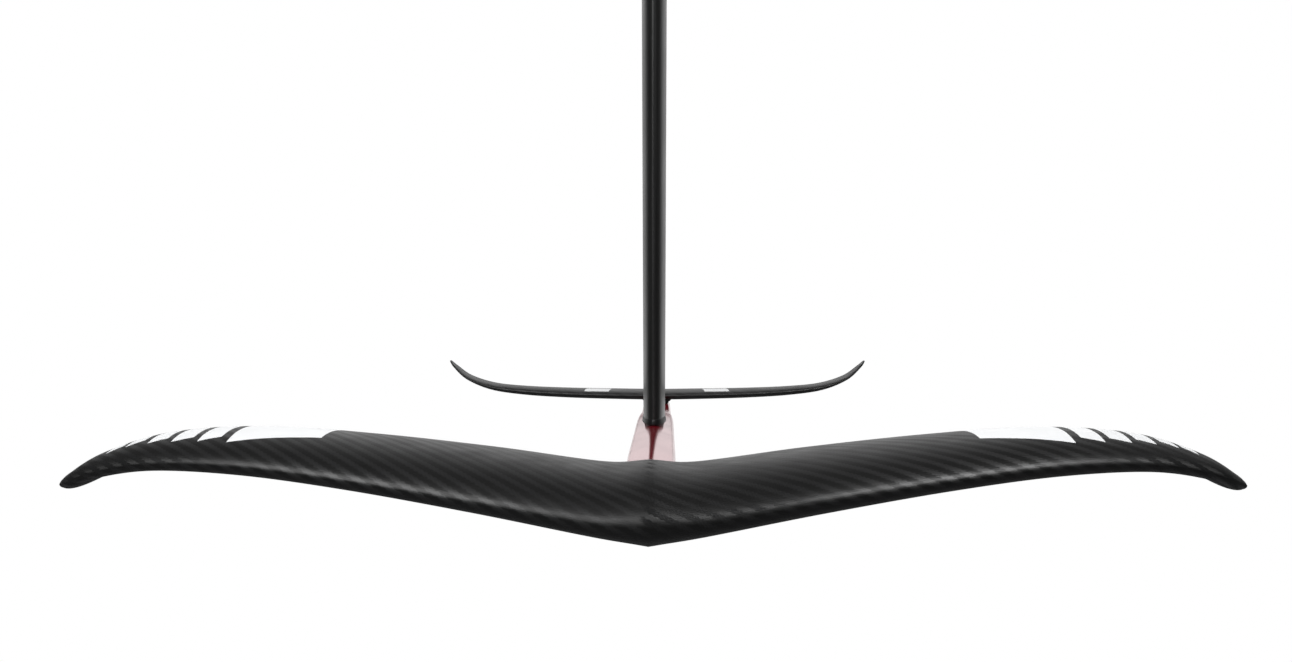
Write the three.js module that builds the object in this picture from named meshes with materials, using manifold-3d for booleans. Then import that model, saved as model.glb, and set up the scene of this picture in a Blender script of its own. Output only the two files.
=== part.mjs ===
// A hydrofoil for a board: front wing, fuselage, stabiliser, mast and base plate.
// Millimetres, +Z up, the nose towards -Y, the origin at the centre of the base plate's top face.
import * as THREE from 'three';
import Module from 'manifold-3d';
import { mergeVertices } from 'three/addons/utils/BufferGeometryUtils.js';

const wasm = await Module();
wasm.setup();

// ---------------------------------------------------------------- driving dimensions
const GAP = 0.3; // between pieces that touch
const ROUND = 16; // sides of a round piece

const PLATE = { length: 196, width: 114, thickness: 10, corner: 22 };
const BOSS = { wall: 4.5, height: 12 };
const SLOT = { spacingX: 90, spacingY: 165, length: 18, width: 9 };

const MAST = {
  length: 700, // fuselage top to the underside of the base plate
  footChord: 108,
  headChord: 118,
  footThickness: 14,
  headThickness: 19.6,
  widestAt: 0.38, // part of the chord
  wall: 2.4,
  trailingEdge: 1.6,
  tailBlend: 0.02, // how much of the flank's slope is left at the trailing edge
};
const FOOT = {
  rim: 0.8, // how far the collar stands out from the mast
  rimHeight: 3.7,
  plug: 60,
  skirt: 3, // how far the collar reaches down beside the fuselage's ridge
  skirtInset: 0.8,
  tenonWidth: 12.6,
  tenonLength: 80,
  tenonDepth: 16,
};
const PLUG_LENGTH = 84; // of the chord that the mast's plugs fill
const TENON_Y = -4; // middle of the mast foot's tenon
const HEAD = { plug: 64 };

const WING = { halfSpan: 321, noseY: -370, noseZ: -23.5, skin: 1.6, edge: 1.2, rows: 15, coreReach: 0.9 };
// across: part of the half span; setback and rise: the leading edge, from the nose; twist in degrees
const WING_STATIONS = [
  { across: 0.0, setback: 0, rise: 0.0, chord: 200, thickness: 36.8, camber: 0.035, twist: 0 },
  { across: 0.08, setback: 5, rise: 1.2, chord: 198, thickness: 29.8, camber: 0.038, twist: 0 },
  { across: 0.26, setback: 21, rise: 9.3, chord: 190, thickness: 26.0, camber: 0.04, twist: 0 },
  { across: 0.46, setback: 44, rise: 16.9, chord: 174, thickness: 22.8, camber: 0.04, twist: 0 },
  { across: 0.64, setback: 66, rise: 21.8, chord: 154, thickness: 20.9, camber: 0.04, twist: 0.3 },
  { across: 0.8, setback: 89, rise: 21.0, chord: 128, thickness: 16.6, camber: 0.04, twist: 0.3 },
  { across: 0.91, setback: 110, rise: 14.6, chord: 98, thickness: 12.2, camber: 0.035, twist: 1 },
  { across: 0.97, setback: 125, rise: 7.4, chord: 70, thickness: 9.3, camber: 0.02, twist: 2 },
  { across: 0.993, setback: 138, rise: 5.2, chord: 38, thickness: 5.4, camber: 0.01, twist: 2 },
  { across: 1.0, setback: 143, rise: 5.0, chord: 12, thickness: 2.8, camber: 0, twist: 2 },
];
const BLOCK_HALF_WIDTH = 24; // of the front wing's mounting block
const CAMBER_AT = 0.42; // part of the chord where a foil's camber is highest
const BOND = 1; // bond line between the wing's skins and what they wrap
// the pocket for the fuselage in the front wing; behind: the gap at the wing's trailing edge
const SEAT = { front: -275, depth: 14, length: 300, behind: 0.5, lip: 0.2 };

const STABILISER = { halfSpan: 165, noseY: 209, noseZ: 2.3, edge: 1.0, rows: 11 };
const STABILISER_STATIONS = [
  { across: 0.0, setback: 0, rise: 0.0, chord: 68, thickness: 7.0, camber: -0.01, twist: -0.9 },
  { across: 0.2, setback: 2, rise: 0.4, chord: 67, thickness: 6.9, camber: -0.01, twist: -0.9 },
  { across: 0.42, setback: 7, rise: 1.1, chord: 62, thickness: 6.6, camber: -0.01, twist: -0.9 },
  { across: 0.62, setback: 13, rise: 2.6, chord: 55, thickness: 6.1, camber: -0.01, twist: -0.9 },
  { across: 0.78, setback: 21, rise: 5.4, chord: 46, thickness: 4.8, camber: -0.01, twist: -0.9 },
  { across: 0.9, setback: 33, rise: 11.6, chord: 34, thickness: 2.9, camber: -0.01, twist: -0.9 },
  { across: 0.97, setback: 45, rise: 20.0, chord: 20, thickness: 2.0, camber: -0.01, twist: -0.9 },
  { across: 1.0, setback: 57, rise: 24.6, chord: 6, thickness: 1.3, camber: 0, twist: -0.9 },
];
const PAD = { width: 21, length: 58, flare: 3, foot: -2.6, roof: 1.8, neck: -0.9 };
const PAD_Y = STABILISER.noseY + 35;
const SHIM = { thickness: 1.0, margin: 1.5 };

// top and bottom: heights of the fuselage's crown and belly
const FUSELAGE_STATIONS = [
  { y: -275, width: 26.6, top: -0.2, bottom: -24.3 },
  { y: -168, width: 26.6, top: -0.2, bottom: -24.3 },
  { y: -140, width: 26.4, top: -0.2, bottom: -26.8 },
  { y: -105, width: 26.2, top: -0.2, bottom: -28.5 },
  { y: -40, width: 25.8, top: -0.2, bottom: -28.8 },
  { y: 60, width: 25.2, top: -0.2, bottom: -28.6 },
  { y: 110, width: 24.2, top: -1.0, bottom: -27.4 },
  { y: 160, width: 22.8, top: -3.0, bottom: -25.6 },
  { y: 203, width: 21.4, top: -4.2, bottom: -24.0 },
  { y: 272, width: 20.0, top: -4.2, bottom: -22.2 },
  { y: 284, width: 15.0, top: -6.8, bottom: -20.8 },
  { y: 287, width: 9.0, top: -9.8, bottom: -18.0 },
];
// the fuselage's back is a low roof: a round ridge, two flats, a crease, then round shoulders
const ROOF = { ridge: 3.4, ridgeDrop: 0.6, crease: 0.77, drop: 2.9, shoulder: 4.6, belly: 9 };

const M6 = { radius: 3, headRadius: 6, headHeight: 3.3, hexAcross: 4, hexDepth: 2.2, insertRadius: 3.9 };
const M8 = { radius: 4, headRadius: 7.5, headHeight: 4.2, hexAcross: 5, hexDepth: 3, insertRadius: 5 };
const WING_SCREWS = [{ y: -261, length: 25 }, { y: -235, length: 25 }, { y: -209, length: 20 }];
const MAST_SCREWS_Y = [-30, 22];
const MAST_SCREW_Z = -28.2;
const PLATE_SCREWS_Y = [-34, -11, 12];
const STABILISER_SCREWS_Y = [228, 260];
const TAIL_SEAT = { start: 207, run: 40 }; // where the stabiliser's flat seat starts, and what leads up to it
const SUNK = { wing: 1.2, plate: 0.5, stabiliser: 0.5 }; // how far the screws' heads lie under the surface
const SCREW_LENGTH = { mast: 28, plate: 28, stabiliser: 16 };
// lower and upper ends of the threaded sleeves
const INSERT = { wing: [-13, -4.4], tail: [-13.9, -4.9], foot: [-15.6, 1.5] };
const BIG = 60; // wider than the fuselage, for trimming blocks

// ---------------------------------------------------------------- finishes
const FINISH = {
  carbon: { color: 0x17181a, roughness: 0.38, metalness: 0.1 },
  laminate: { color: 0x222426, roughness: 0.6, metalness: 0.1 },
  foam: { color: 0xd8cfae, roughness: 0.9, metalness: 0 },
  redAnodised: { color: 0x571019, roughness: 0.2, metalness: 0.75 },
  blackAnodised: { color: 0x1d1e20, roughness: 0.42, metalness: 0.6 },
  steel: { color: 0xb9bcbe, roughness: 0.28, metalness: 1 },
  shim: { color: 0x0e0e0f, roughness: 0.6, metalness: 0 },
};

// ---------------------------------------------------------------- solids
/** The manifold-3d solid of a closed three.js geometry. */
function solid(geometry) {
  const bare = new THREE.BufferGeometry();
  bare.setAttribute('position', geometry.getAttribute('position').clone());
  if (geometry.index) bare.setIndex(geometry.index.clone());
  const merged = mergeVertices(bare, 1e-4);
  return new wasm.Manifold(new wasm.Mesh({
    numProp: 3,
    vertProperties: new Float32Array(merged.getAttribute('position').array),
    triVerts: new Uint32Array(merged.index.array),
  }));
}

/** The three.js geometry of a manifold-3d solid. */
function geometryOf(body) {
  const mesh = body.getMesh();
  const geometry = new THREE.BufferGeometry();
  geometry.setAttribute('position', new THREE.BufferAttribute(mesh.vertProperties, 3));
  geometry.setIndex(new THREE.BufferAttribute(mesh.triVerts, 1));
  const flat = geometry.toNonIndexed();
  flat.computeVertexNormals();
  return flat;
}

const subtractAll = (body, tools) => tools.reduce((left, tool) => left.subtract(tool), body);

/** A named mesh of a geometry or a solid. */
function piece(name, shape, finish) {
  const geometry = shape.isBufferGeometry ? shape : geometryOf(shape);
  const mesh = new THREE.Mesh(geometry, new THREE.MeshStandardMaterial(finish));
  mesh.name = name;
  return mesh;
}

/** A closed body through rings of points, its two ends capped as seen along the axis that is left out. */
function loft(rings, capAxes) {
  const count = rings[0].length;
  const positions = rings.flat().flatMap((point) => point.toArray());
  const index = [];
  for (let row = 0; row + 1 < rings.length; row += 1) {
    for (let i = 0; i < count; i += 1) {
      const a = row * count + i;
      const b = row * count + ((i + 1) % count);
      index.push(a, b, a + count, b, b + count, a + count);
    }
  }
  const [first, second] = capAxes;
  [0, rings.length - 1].forEach((row) => {
    const contour = rings[row].map((point) => new THREE.Vector2(point[first], point[second]));
    const clockwise = THREE.ShapeUtils.isClockWise(contour);
    THREE.ShapeUtils.triangulateShape(contour, []).forEach(([a, b, c]) => {
      const flip = (row === 0) === clockwise;
      const face = flip ? [a, b, c] : [a, c, b];
      index.push(...face.map((corner) => corner + row * count));
    });
  });
  const geometry = new THREE.BufferGeometry();
  geometry.setAttribute('position', new THREE.Float32BufferAttribute(positions, 3));
  geometry.setIndex(index);
  return outward(geometry);
}

/** The same geometry with its faces pointing out. */
function outward(geometry) {
  if (solid(geometry).volume() >= 0) return geometry;
  const index = geometry.index.array;
  for (let i = 0; i < index.length; i += 3) [index[i + 1], index[i + 2]] = [index[i + 2], index[i + 1]];
  return geometry;
}

/** An outline in the XY plane, pulled up from one height to another. */
function prism(shape, low, high) {
  const options = { depth: high - low, bevelEnabled: false, curveSegments: 3 };
  const geometry = new THREE.ExtrudeGeometry(shape, options);
  return geometry.translate(0, 0, low);
}

/** A rectangle with round corners, centred on the origin. */
function roundedRectangle(width, length, radius) {
  const x = width / 2;
  const y = length / 2;
  const shape = new THREE.Shape();
  shape.moveTo(-x + radius, -y);
  shape.lineTo(x - radius, -y);
  shape.absarc(x - radius, -y + radius, radius, -Math.PI / 2, 0, false);
  shape.absarc(x - radius, y - radius, radius, 0, Math.PI / 2, false);
  shape.absarc(-x + radius, y - radius, radius, Math.PI / 2, Math.PI, false);
  shape.absarc(-x + radius, -y + radius, radius, Math.PI, Math.PI * 1.5, false);
  return shape;
}

/** A slot-shaped outline with round ends, its long side along Y. */
const slotOutline = (width, length) => roundedRectangle(width, length, width / 2 - 0.01);

/** A round hole or bar along Z. */
function bar(radius, low, high, segments = ROUND) {
  const geometry = new THREE.CylinderGeometry(radius, radius, high - low, segments);
  return geometry.rotateX(Math.PI / 2).translate(0, 0, (low + high) / 2);
}

// ---------------------------------------------------------------- foil sections
/** A value of a station table at a place k counted in stations, on a smooth curve through them. */
function along(stations, key, k) {
  const last = stations.length - 1;
  const i = Math.min(Math.floor(k), last - 1);
  const t = k - i;
  const at = (j) => {
    if (j < 0) return 2 * stations[0][key] - stations[1][key];
    if (j > last) return 2 * stations[last][key] - stations[last - 1][key];
    return stations[j][key];
  };
  const [a, b, c, d] = [at(i - 1), at(i), at(i + 1), at(i + 2)];
  return 0.5 * (2 * b + (c - a) * t + (2 * a - 5 * b + 4 * c - d) * t * t + (3 * b - a - 3 * c + d) * t ** 3);
}

/** A wing's leading edge, chord line and section at k, for one side. */
class Foil {
  constructor(size, stations) {
    Object.assign(this, { size, stations });
    this.last = stations.length - 1;
  }

  value(key, k) {
    return along(this.stations, key, k);
  }

  x(k) {
    return this.value('across', k) * this.size.halfSpan;
  }

  /** The place k of a distance x from the centre. */
  placeAt(x) {
    let [low, high] = [0, this.last];
    for (let step = 0; step < 40; step += 1) {
      const middle = (low + high) / 2;
      if (this.x(middle) < x) low = middle;
      else high = middle;
    }
    return low;
  }

  /** How far the section leans outwards, following the leading edge up or down. */
  roll(k) {
    const d = 0.02;
    const [a, b] = [Math.max(k - d, 0), Math.min(k + d, this.last)];
    const slope = (this.value('rise', b) - this.value('rise', a)) / (this.x(b) - this.x(a));
    return Math.atan(slope) * Math.min(1, this.x(k) / 20);
  }

  /** Half the section's thickness at a part of the chord. */
  half(k, part) {
    const t = this.value('thickness', k);
    const curve = 0.2969 * Math.sqrt(part) - 0.126 * part - 0.3516 * part ** 2
      + 0.2843 * part ** 3 - 0.1036 * part ** 4;
    return Math.max(5 * t * curve, this.size.edge / 2);
  }

  /** Height of the section's mean line above its chord. */
  mean(k, part) {
    const p = CAMBER_AT;
    const m = this.value('camber', k) * this.value('chord', k);
    if (part < p) return (m / p ** 2) * (2 * p * part - part ** 2);
    return (m / (1 - p) ** 2) * (1 - 2 * p + 2 * p * part - part ** 2);
  }

  /** The point at a part of the chord and a height above the chord line; side is 1 or -1. */
  point(k, side, part, height) {
    const twist = THREE.MathUtils.degToRad(this.value('twist', k));
    const roll = this.roll(k);
    const run = part * this.value('chord', k);
    const y = run * Math.cos(twist) + height * Math.sin(twist);
    const z = height * Math.cos(twist) - run * Math.sin(twist);
    return new THREE.Vector3(
      side * (this.x(k) - z * Math.sin(roll)),
      this.size.noseY + this.value('setback', k) + y,
      this.size.noseZ + this.value('rise', k) + z * Math.cos(roll),
    );
  }

  /** Places across the wing from one x to another, closer together near the tips. */
  rows(fromX, toX, count) {
    const signedPlace = (x) => Math.sign(x) * this.placeAt(Math.abs(x));
    const [a, b] = [signedPlace(fromX), signedPlace(toX)];
    return Array.from({ length: count + 1 }, (_, i) => a + ((b - a) * i) / count);
  }

  /** A closed body over a stretch of chord; top and bottom give its heights at k and part. */
  body(rows, parts, top, bottom) {
    const rings = rows.map((row) => {
      const k = Math.abs(row);
      const side = row < 0 ? -1 : 1;
      const list = typeof parts === 'function' ? parts(k) : parts;
      const upper = list.map((part) => this.point(k, side, part, top(k, part)));
      const lower = list.map((part) => this.point(k, side, part, bottom(k, part)));
      return [...upper, ...lower.reverse()];
    });
    return loft(rings, ['y', 'z']);
  }
}

/** Parts of a chord from one to another, closer together at both edges. */
function chordParts(from, to, count) {
  const share = (i) => (1 - Math.cos((Math.PI * i) / count)) / 2;
  return Array.from({ length: count + 1 }, (_, i) => from + (to - from) * share(i));
}

const wing = new Foil(WING, WING_STATIONS);
const tail = new Foil(STABILISER, STABILISER_STATIONS);

// ---------------------------------------------------------------- fasteners
/** A countersunk socket screw along -Z, the top of its head at z = 0. */
function screwSolid(size, length) {
  const { radius, headRadius, headHeight, hexAcross, hexDepth } = size;
  const profile = [[0, -length], [radius - 0.8, -length], [radius, -length + 0.8], [radius, -headHeight],
    [headRadius, -0.4], [headRadius, 0], [0, 0]].map(([r, z]) => new THREE.Vector2(r, z));
  const body = new THREE.LatheGeometry(profile, ROUND).rotateX(Math.PI / 2);
  const socket = bar(hexAcross / Math.sqrt(3), -hexDepth, 1, 6);
  return solid(outward(mergeVertices(stripped(body), 1e-4))).subtract(solid(socket));
}

/** A geometry with only its positions. */
function stripped(geometry) {
  geometry.deleteAttribute('normal');
  geometry.deleteAttribute('uv');
  return geometry;
}

/** The room that a screw needs, with its head's way out left open. */
function screwRoom(size, length) {
  const { radius, headRadius, headHeight } = size;
  const profile = [[0, -length - 1], [radius + GAP, -length - 1], [radius + GAP, -headHeight - GAP],
    [headRadius + GAP, -0.4 - GAP], [headRadius + GAP, 12], [0, 12]].map(([r, z]) => new THREE.Vector2(r, z));
  const body = new THREE.LatheGeometry(profile, ROUND).rotateX(Math.PI / 2);
  return solid(outward(mergeVertices(stripped(body), 1e-4)));
}

/** A threaded steel sleeve on the centre line at y, from one height to another. */
function sleeve(name, size, y, low, high) {
  const hole = solid(bar(size.radius + GAP, low - 1, high + 1));
  const mesh = piece(name, solid(bar(size.insertRadius, low, high)).subtract(hole), FINISH.steel);
  mesh.position.y = y;
  return mesh;
}

/** A flipped copy of a solid, so that what pointed up points down. */
const upsideDown = (body) => body.rotate([180, 0, 0]);

// ---------------------------------------------------------------- front wing
const WING_PARTS = chordParts(0, 1, 12);
const outerTop = (k, part) => wing.mean(k, part) + wing.half(k, part);
const outerBottom = (k, part) => wing.mean(k, part) - wing.half(k, part);
const skinDepth = (k, part) => Math.max(wing.half(k, part) - WING.skin, GAP / 2);

/** Height of the front wing's underside on the centre line at y. */
function wingUnderside(y) {
  const part = (y - WING.noseY) / wing.value('chord', 0);
  return WING.noseZ + outerBottom(0, part);
}

/** Where the core starts and ends along the chord at k. */
function coreParts(k) {
  const thick = chordParts(0, 1, 400).filter((part) => wing.half(k, part) > WING.skin + BOND + 0.6);
  return chordParts(thick[0], thick[thick.length - 1], 10);
}

const coreTop = (k, part) => wing.mean(k, part) + wing.half(k, part) - WING.skin - BOND;
const coreBottom = (k, part) => wing.mean(k, part) - wing.half(k, part) + WING.skin + BOND;

/** The pocket in the wing that holds the front end of the fuselage. */
function wingSeatRoom() {
  const floorBlock = new THREE.BoxGeometry(BIG, SEAT.length, BIG);
  const aboveFloor = solid(floorBlock).translate([0, SEAT.front, BIG / 2 - SEAT.depth]);
  const endRoom = fuselageBlank(GAP).translate([0, -GAP, 0]);
  return endRoom.add(fuselageBlank(GAP)).intersect(aboveFloor);
}

/** The wing's own outer shape near the centre, grown by the gap, for cutting its seat in the fuselage. */
function wingRootRoom() {
  const grownTop = (k, part) => outerTop(k, part) + GAP;
  const grownBottom = (k, part) => outerBottom(k, part) - GAP;
  return solid(wing.body(wing.rows(-40, 40, 8), WING_PARTS, grownTop, grownBottom));
}

/** The three screws of the front wing: where each head is, and which way up. */
const wingScrewPlaces = WING_SCREWS.map(({ y, length }) => ({ y, length, z: wingUnderside(y) + SUNK.wing }));

function frontWing() {
  const group = new THREE.Group();
  const span = wing.rows(-WING.halfSpan, WING.halfSpan, 2 * WING.rows);
  const innerTop = (k, part) => wing.mean(k, part) + skinDepth(k, part);
  const innerBottom = (k, part) => wing.mean(k, part) - skinDepth(k, part);
  const rooms = wingScrewPlaces.map(({ y, z, length }) => (
    upsideDown(screwRoom(M6, length)).translate([0, y, z])));

  const topSkin = solid(wing.body(span, WING_PARTS, outerTop, innerTop));
  const bottomSkin = solid(wing.body(span, WING_PARTS, innerBottom, outerBottom));
  group.add(piece('front_wing_top_skin', subtractAll(topSkin, [wingSeatRoom(), ...rooms]), FINISH.carbon));
  group.add(piece('front_wing_bottom_skin', subtractAll(bottomSkin, rooms), FINISH.carbon));

  const coreEnd = WING.halfSpan * WING.coreReach;
  const coreSpans = [['left', -coreEnd, -BLOCK_HALF_WIDTH], ['right', BLOCK_HALF_WIDTH, coreEnd]];
  coreSpans.forEach(([side, from, to]) => {
    const core = wing.body(wing.rows(from, to, 10), coreParts, coreTop, coreBottom);
    group.add(piece(`front_wing_core_${side}`, core, FINISH.foam));
  });

  const blockHalf = BLOCK_HALF_WIDTH - GAP;
  const block = solid(wing.body(wing.rows(-blockHalf, blockHalf, 4), coreParts, coreTop, coreBottom));
  group.add(piece('front_wing_mount_block', subtractAll(block, [wingSeatRoom(), ...rooms]), FINISH.laminate));

  wingScrewPlaces.forEach(({ y, z, length }, i) => {
    const screw = piece(`front_wing_screw_${i + 1}`, upsideDown(screwSolid(M6, length)), FINISH.steel);
    screw.position.set(0, y, z);
    group.add(screw);
  });
  return group;
}

// ---------------------------------------------------------------- fuselage
/** How much of the roof the fuselage has at y: none where the stabiliser's flat seat is. */
function roofAt(y) {
  return THREE.MathUtils.clamp((TAIL_SEAT.start - y) / TAIL_SEAT.run, 0, 1);
}

/** A cross-section of the fuselage at one station, grown by an offset. */
function fuselageRing({ y, width, top, bottom }, offset = 0) {
  const half = width / 2 + offset;
  const roof = roofAt(y);
  const crease = half * ROOF.crease;
  const [ridgeZ, creaseZ] = [top + offset, top + offset - ROOF.drop * roof];
  const low = bottom - offset;
  const shoulder = Math.min(ROOF.shoulder, (creaseZ - low) * 0.35);
  const belly = Math.min(ROOF.belly, (creaseZ - low) * 0.5, half * 0.8);
  const flank = half - crease;
  const arc = (x, z, radii, from, to) => new THREE.EllipseCurve(x, z, ...radii, from, to, true).getPoints(4);
  const right = [
    new THREE.Vector2(ROOF.ridge / 2, ridgeZ - ROOF.ridgeDrop * 0.25 * roof),
    new THREE.Vector2(ROOF.ridge, ridgeZ - ROOF.ridgeDrop * roof),
    ...arc(crease, creaseZ - shoulder, [flank, shoulder], Math.PI / 2, 0),
    ...arc(half - belly, low + belly, [belly, belly], 0, -Math.PI / 2),
  ];
  const left = right.map((point) => new THREE.Vector2(-point.x, point.y)).reverse();
  const outline = [new THREE.Vector2(0, ridgeZ), ...right, ...left];
  return outline.map((point) => new THREE.Vector3(point.x, y, point.y));
}

/** The fuselage before anything is cut from it, grown by an offset. */
function fuselageBlank(offset = 0) {
  return solid(loft(FUSELAGE_STATIONS.map((station) => fuselageRing(station, offset)), ['x', 'z']));
}

/** The fuselage with its front end trimmed to the wing's seat and to the wing's trailing edge. */
function fuselageSolid() {
  const wingEndY = WING.noseY + WING_STATIONS[0].chord + SEAT.behind;
  const below = solid(new THREE.BoxGeometry(BIG, SEAT.length, BIG)).translate(
    [0, wingEndY - SEAT.length / 2, WING.noseZ + SEAT.lip - BIG / 2]);
  const underSeat = solid(new THREE.BoxGeometry(BIG, SEAT.length, BIG)).translate(
    [0, SEAT.front, GAP - SEAT.depth - BIG / 2]);
  return subtractAll(fuselageBlank(), [wingRootRoom().intersect(underSeat), below]);
}

function fuselage() {
  const group = new THREE.Group();
  const tenonRoom = solid(prism(slotOutline(FOOT.tenonWidth + 2 * GAP, FOOT.tenonLength + 2 * GAP),
    -FOOT.tenonDepth - GAP, 5)).translate([0, TENON_Y, 0]);
  const hole = (y, low, high) => solid(bar(M6.insertRadius + GAP, low, high)).translate([0, y, 0]);
  const wingHoles = WING_SCREWS.map(({ y }) => hole(y, -30, INSERT.wing[1] + 1.3));
  const mastRooms = MAST_SCREWS_Y.map((y) => upsideDown(screwRoom(M8, 30)).translate([0, y, MAST_SCREW_Z]));
  const tailHoles = STABILISER_SCREWS_Y.map((y) => hole(y, INSERT.tail[0] - 0.6, 5));
  const body = subtractAll(fuselageSolid(), [tenonRoom, ...wingHoles, ...mastRooms, ...tailHoles]);
  group.add(piece('fuselage', body, FINISH.redAnodised));
  WING_SCREWS.forEach(({ y }, i) => group.add(sleeve(`wing_thread_insert_${i + 1}`, M6, y, ...INSERT.wing)));
  STABILISER_SCREWS_Y.forEach((y, i) => {
    group.add(sleeve(`tail_thread_insert_${i + 1}`, M6, y, ...INSERT.tail));
  });
  return group;
}

// ---------------------------------------------------------------- mast
/** The mast's section: an elliptical front, then a parabola to a blunt trailing edge; grown by offset. */
function mastOutline(chord, thickness, offset) {
  const front = chord * MAST.widestAt + offset;
  const back = chord * (1 - MAST.widestAt) + offset;
  const wide = chord * (MAST.widestAt - 0.5);
  const half = thickness / 2 + offset;
  const edge = MAST.trailingEdge / 2;
  const tailSlope = Math.max(half - edge, 0.1);
  const shape = new THREE.Shape();
  shape.moveTo(half, wide);
  shape.quadraticCurveTo(half, wide + back / 2, edge + tailSlope * MAST.tailBlend, wide + back);
  shape.lineTo(-edge - tailSlope * MAST.tailBlend, wide + back);
  shape.quadraticCurveTo(-half, wide + back / 2, -half, wide);
  shape.absellipse(0, wide, half, front, Math.PI, 2 * Math.PI, false);
  return shape;
}

/** A prism between two heights whose outline follows the mast's taper. */
function taperedBody(low, high, offset) {
  const at = (z, foot, head) => foot + ((head - foot) * z) / MAST.length;
  const ringAt = (z) => {
    const chord = at(z, MAST.footChord, MAST.headChord);
    const thickness = at(z, MAST.footThickness, MAST.headThickness);
    const points = mastOutline(chord, thickness, offset).getPoints(9).slice(0, -1);
    return points.map(({ x, y }) => new THREE.Vector3(x, y, z));
  };
  const rings = [0, 1, 2, 3].map((i) => ringAt(low + ((high - low) * i) / 3));
  return solid(loft(rings, ['x', 'y']));
}

/** A plug that fits inside the mast, cut off where the section gets too thin to hold it. */
function mastPlug(low, high) {
  const inside = taperedBody(low, high, -MAST.wall - GAP);
  const keep = solid(new THREE.BoxGeometry(BIG, PLUG_LENGTH, 2 * MAST.length)).translate([0, TENON_Y, 0]);
  return inside.intersect(keep);
}

const headTop = MAST.length - GAP;
const headLow = headTop - HEAD.plug;

function mastFoot() {
  const rim = solid(prism(mastOutline(MAST.footChord, MAST.footThickness, FOOT.rim), 0, FOOT.rimHeight));
  const skirtRing = (offset, z) => {
    const points = mastOutline(MAST.footChord, MAST.footThickness, offset).getPoints(5).slice(0, -1);
    return points.map(({ x, y }) => new THREE.Vector3(x, y, z));
  };
  const skirtRings = [skirtRing(-FOOT.skirtInset, -FOOT.skirt), skirtRing(FOOT.rim, 0.01)];
  const skirt = solid(loft(skirtRings, ['x', 'y']))
    .subtract(fuselageBlank(GAP));
  const tenonOutline = slotOutline(FOOT.tenonWidth, FOOT.tenonLength);
  const tenon = solid(prism(tenonOutline, -FOOT.tenonDepth, FOOT.rimHeight - 1))
    .translate([0, TENON_Y, 0]);
  const plug = mastPlug(FOOT.rimHeight - 1, FOOT.rimHeight + FOOT.plug);
  const holes = MAST_SCREWS_Y.map((y) => solid(bar(M8.insertRadius + GAP, -30, 3)).translate([0, y, 0]));
  return subtractAll(rim.add(skirt).add(tenon).add(plug), holes);
}

function mast() {
  const group = new THREE.Group();
  const skinLow = FOOT.rimHeight + GAP;
  const bore = taperedBody(skinLow - 3, headTop + 3, -MAST.wall);
  const skin = taperedBody(skinLow, headTop, 0).subtract(bore);
  group.add(piece('mast_skin', skin, FINISH.carbon));
  const coreLow = FOOT.rimHeight + FOOT.plug + GAP;
  group.add(piece('mast_core', mastPlug(coreLow, headLow - GAP), FINISH.foam));
  group.add(piece('mast_foot', mastFoot(), FINISH.blackAnodised));
  const headHoles = PLATE_SCREWS_Y.map((y) => (
    solid(bar(M8.insertRadius + GAP, headTop - 24, headTop + 5)).translate([0, y, 0])));
  group.add(piece('mast_head', subtractAll(mastPlug(headLow, headTop), headHoles), FINISH.blackAnodised));

  MAST_SCREWS_Y.forEach((y, i) => {
    const screwBody = upsideDown(screwSolid(M8, SCREW_LENGTH.mast));
    const screw = piece(`mast_foot_screw_${i + 1}`, screwBody, FINISH.steel);
    screw.position.set(0, y, MAST_SCREW_Z);
    group.add(screw);
    group.add(sleeve(`mast_foot_thread_insert_${i + 1}`, M8, y, ...INSERT.foot));
  });
  PLATE_SCREWS_Y.forEach((y, i) => {
    group.add(sleeve(`mast_head_thread_insert_${i + 1}`, M8, y, headTop - 20, headTop - 1));
  });
  return group;
}

// ---------------------------------------------------------------- base plate
function basePlate() {
  const group = new THREE.Group();
  const slab = solid(prism(roundedRectangle(PLATE.width, PLATE.length, PLATE.corner), -PLATE.thickness, 0));
  const bossShape = mastOutline(MAST.headChord, MAST.headThickness, BOSS.wall);
  const boss = solid(prism(bossShape, -PLATE.thickness - BOSS.height, -PLATE.thickness + 1));
  const drop = -PLATE.thickness - MAST.length;
  const socket = taperedBody(MAST.length - BOSS.height - 6, MAST.length, GAP).translate([0, 0, drop]);
  const slots = [-1, 1].flatMap((sx) => [-1, 1].map((sy) => (
    solid(prism(slotOutline(SLOT.width, SLOT.length), -PLATE.thickness - 5, 5)).rotate([0, 0, 90])
      .translate([(sx * SLOT.spacingX) / 2, (sy * SLOT.spacingY) / 2, 0]))));
  const rooms = PLATE_SCREWS_Y.map((y) => screwRoom(M8, 30).translate([0, y, -SUNK.plate]));
  const body = subtractAll(slab.add(boss), [socket, ...slots, ...rooms]);
  group.add(piece('base_plate', body, FINISH.blackAnodised));
  PLATE_SCREWS_Y.forEach((y, i) => {
    const screw = piece(`base_plate_screw_${i + 1}`, screwSolid(M8, SCREW_LENGTH.plate), FINISH.steel);
    screw.position.set(0, y, -SUNK.plate);
    group.add(screw);
  });
  return group;
}

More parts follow.
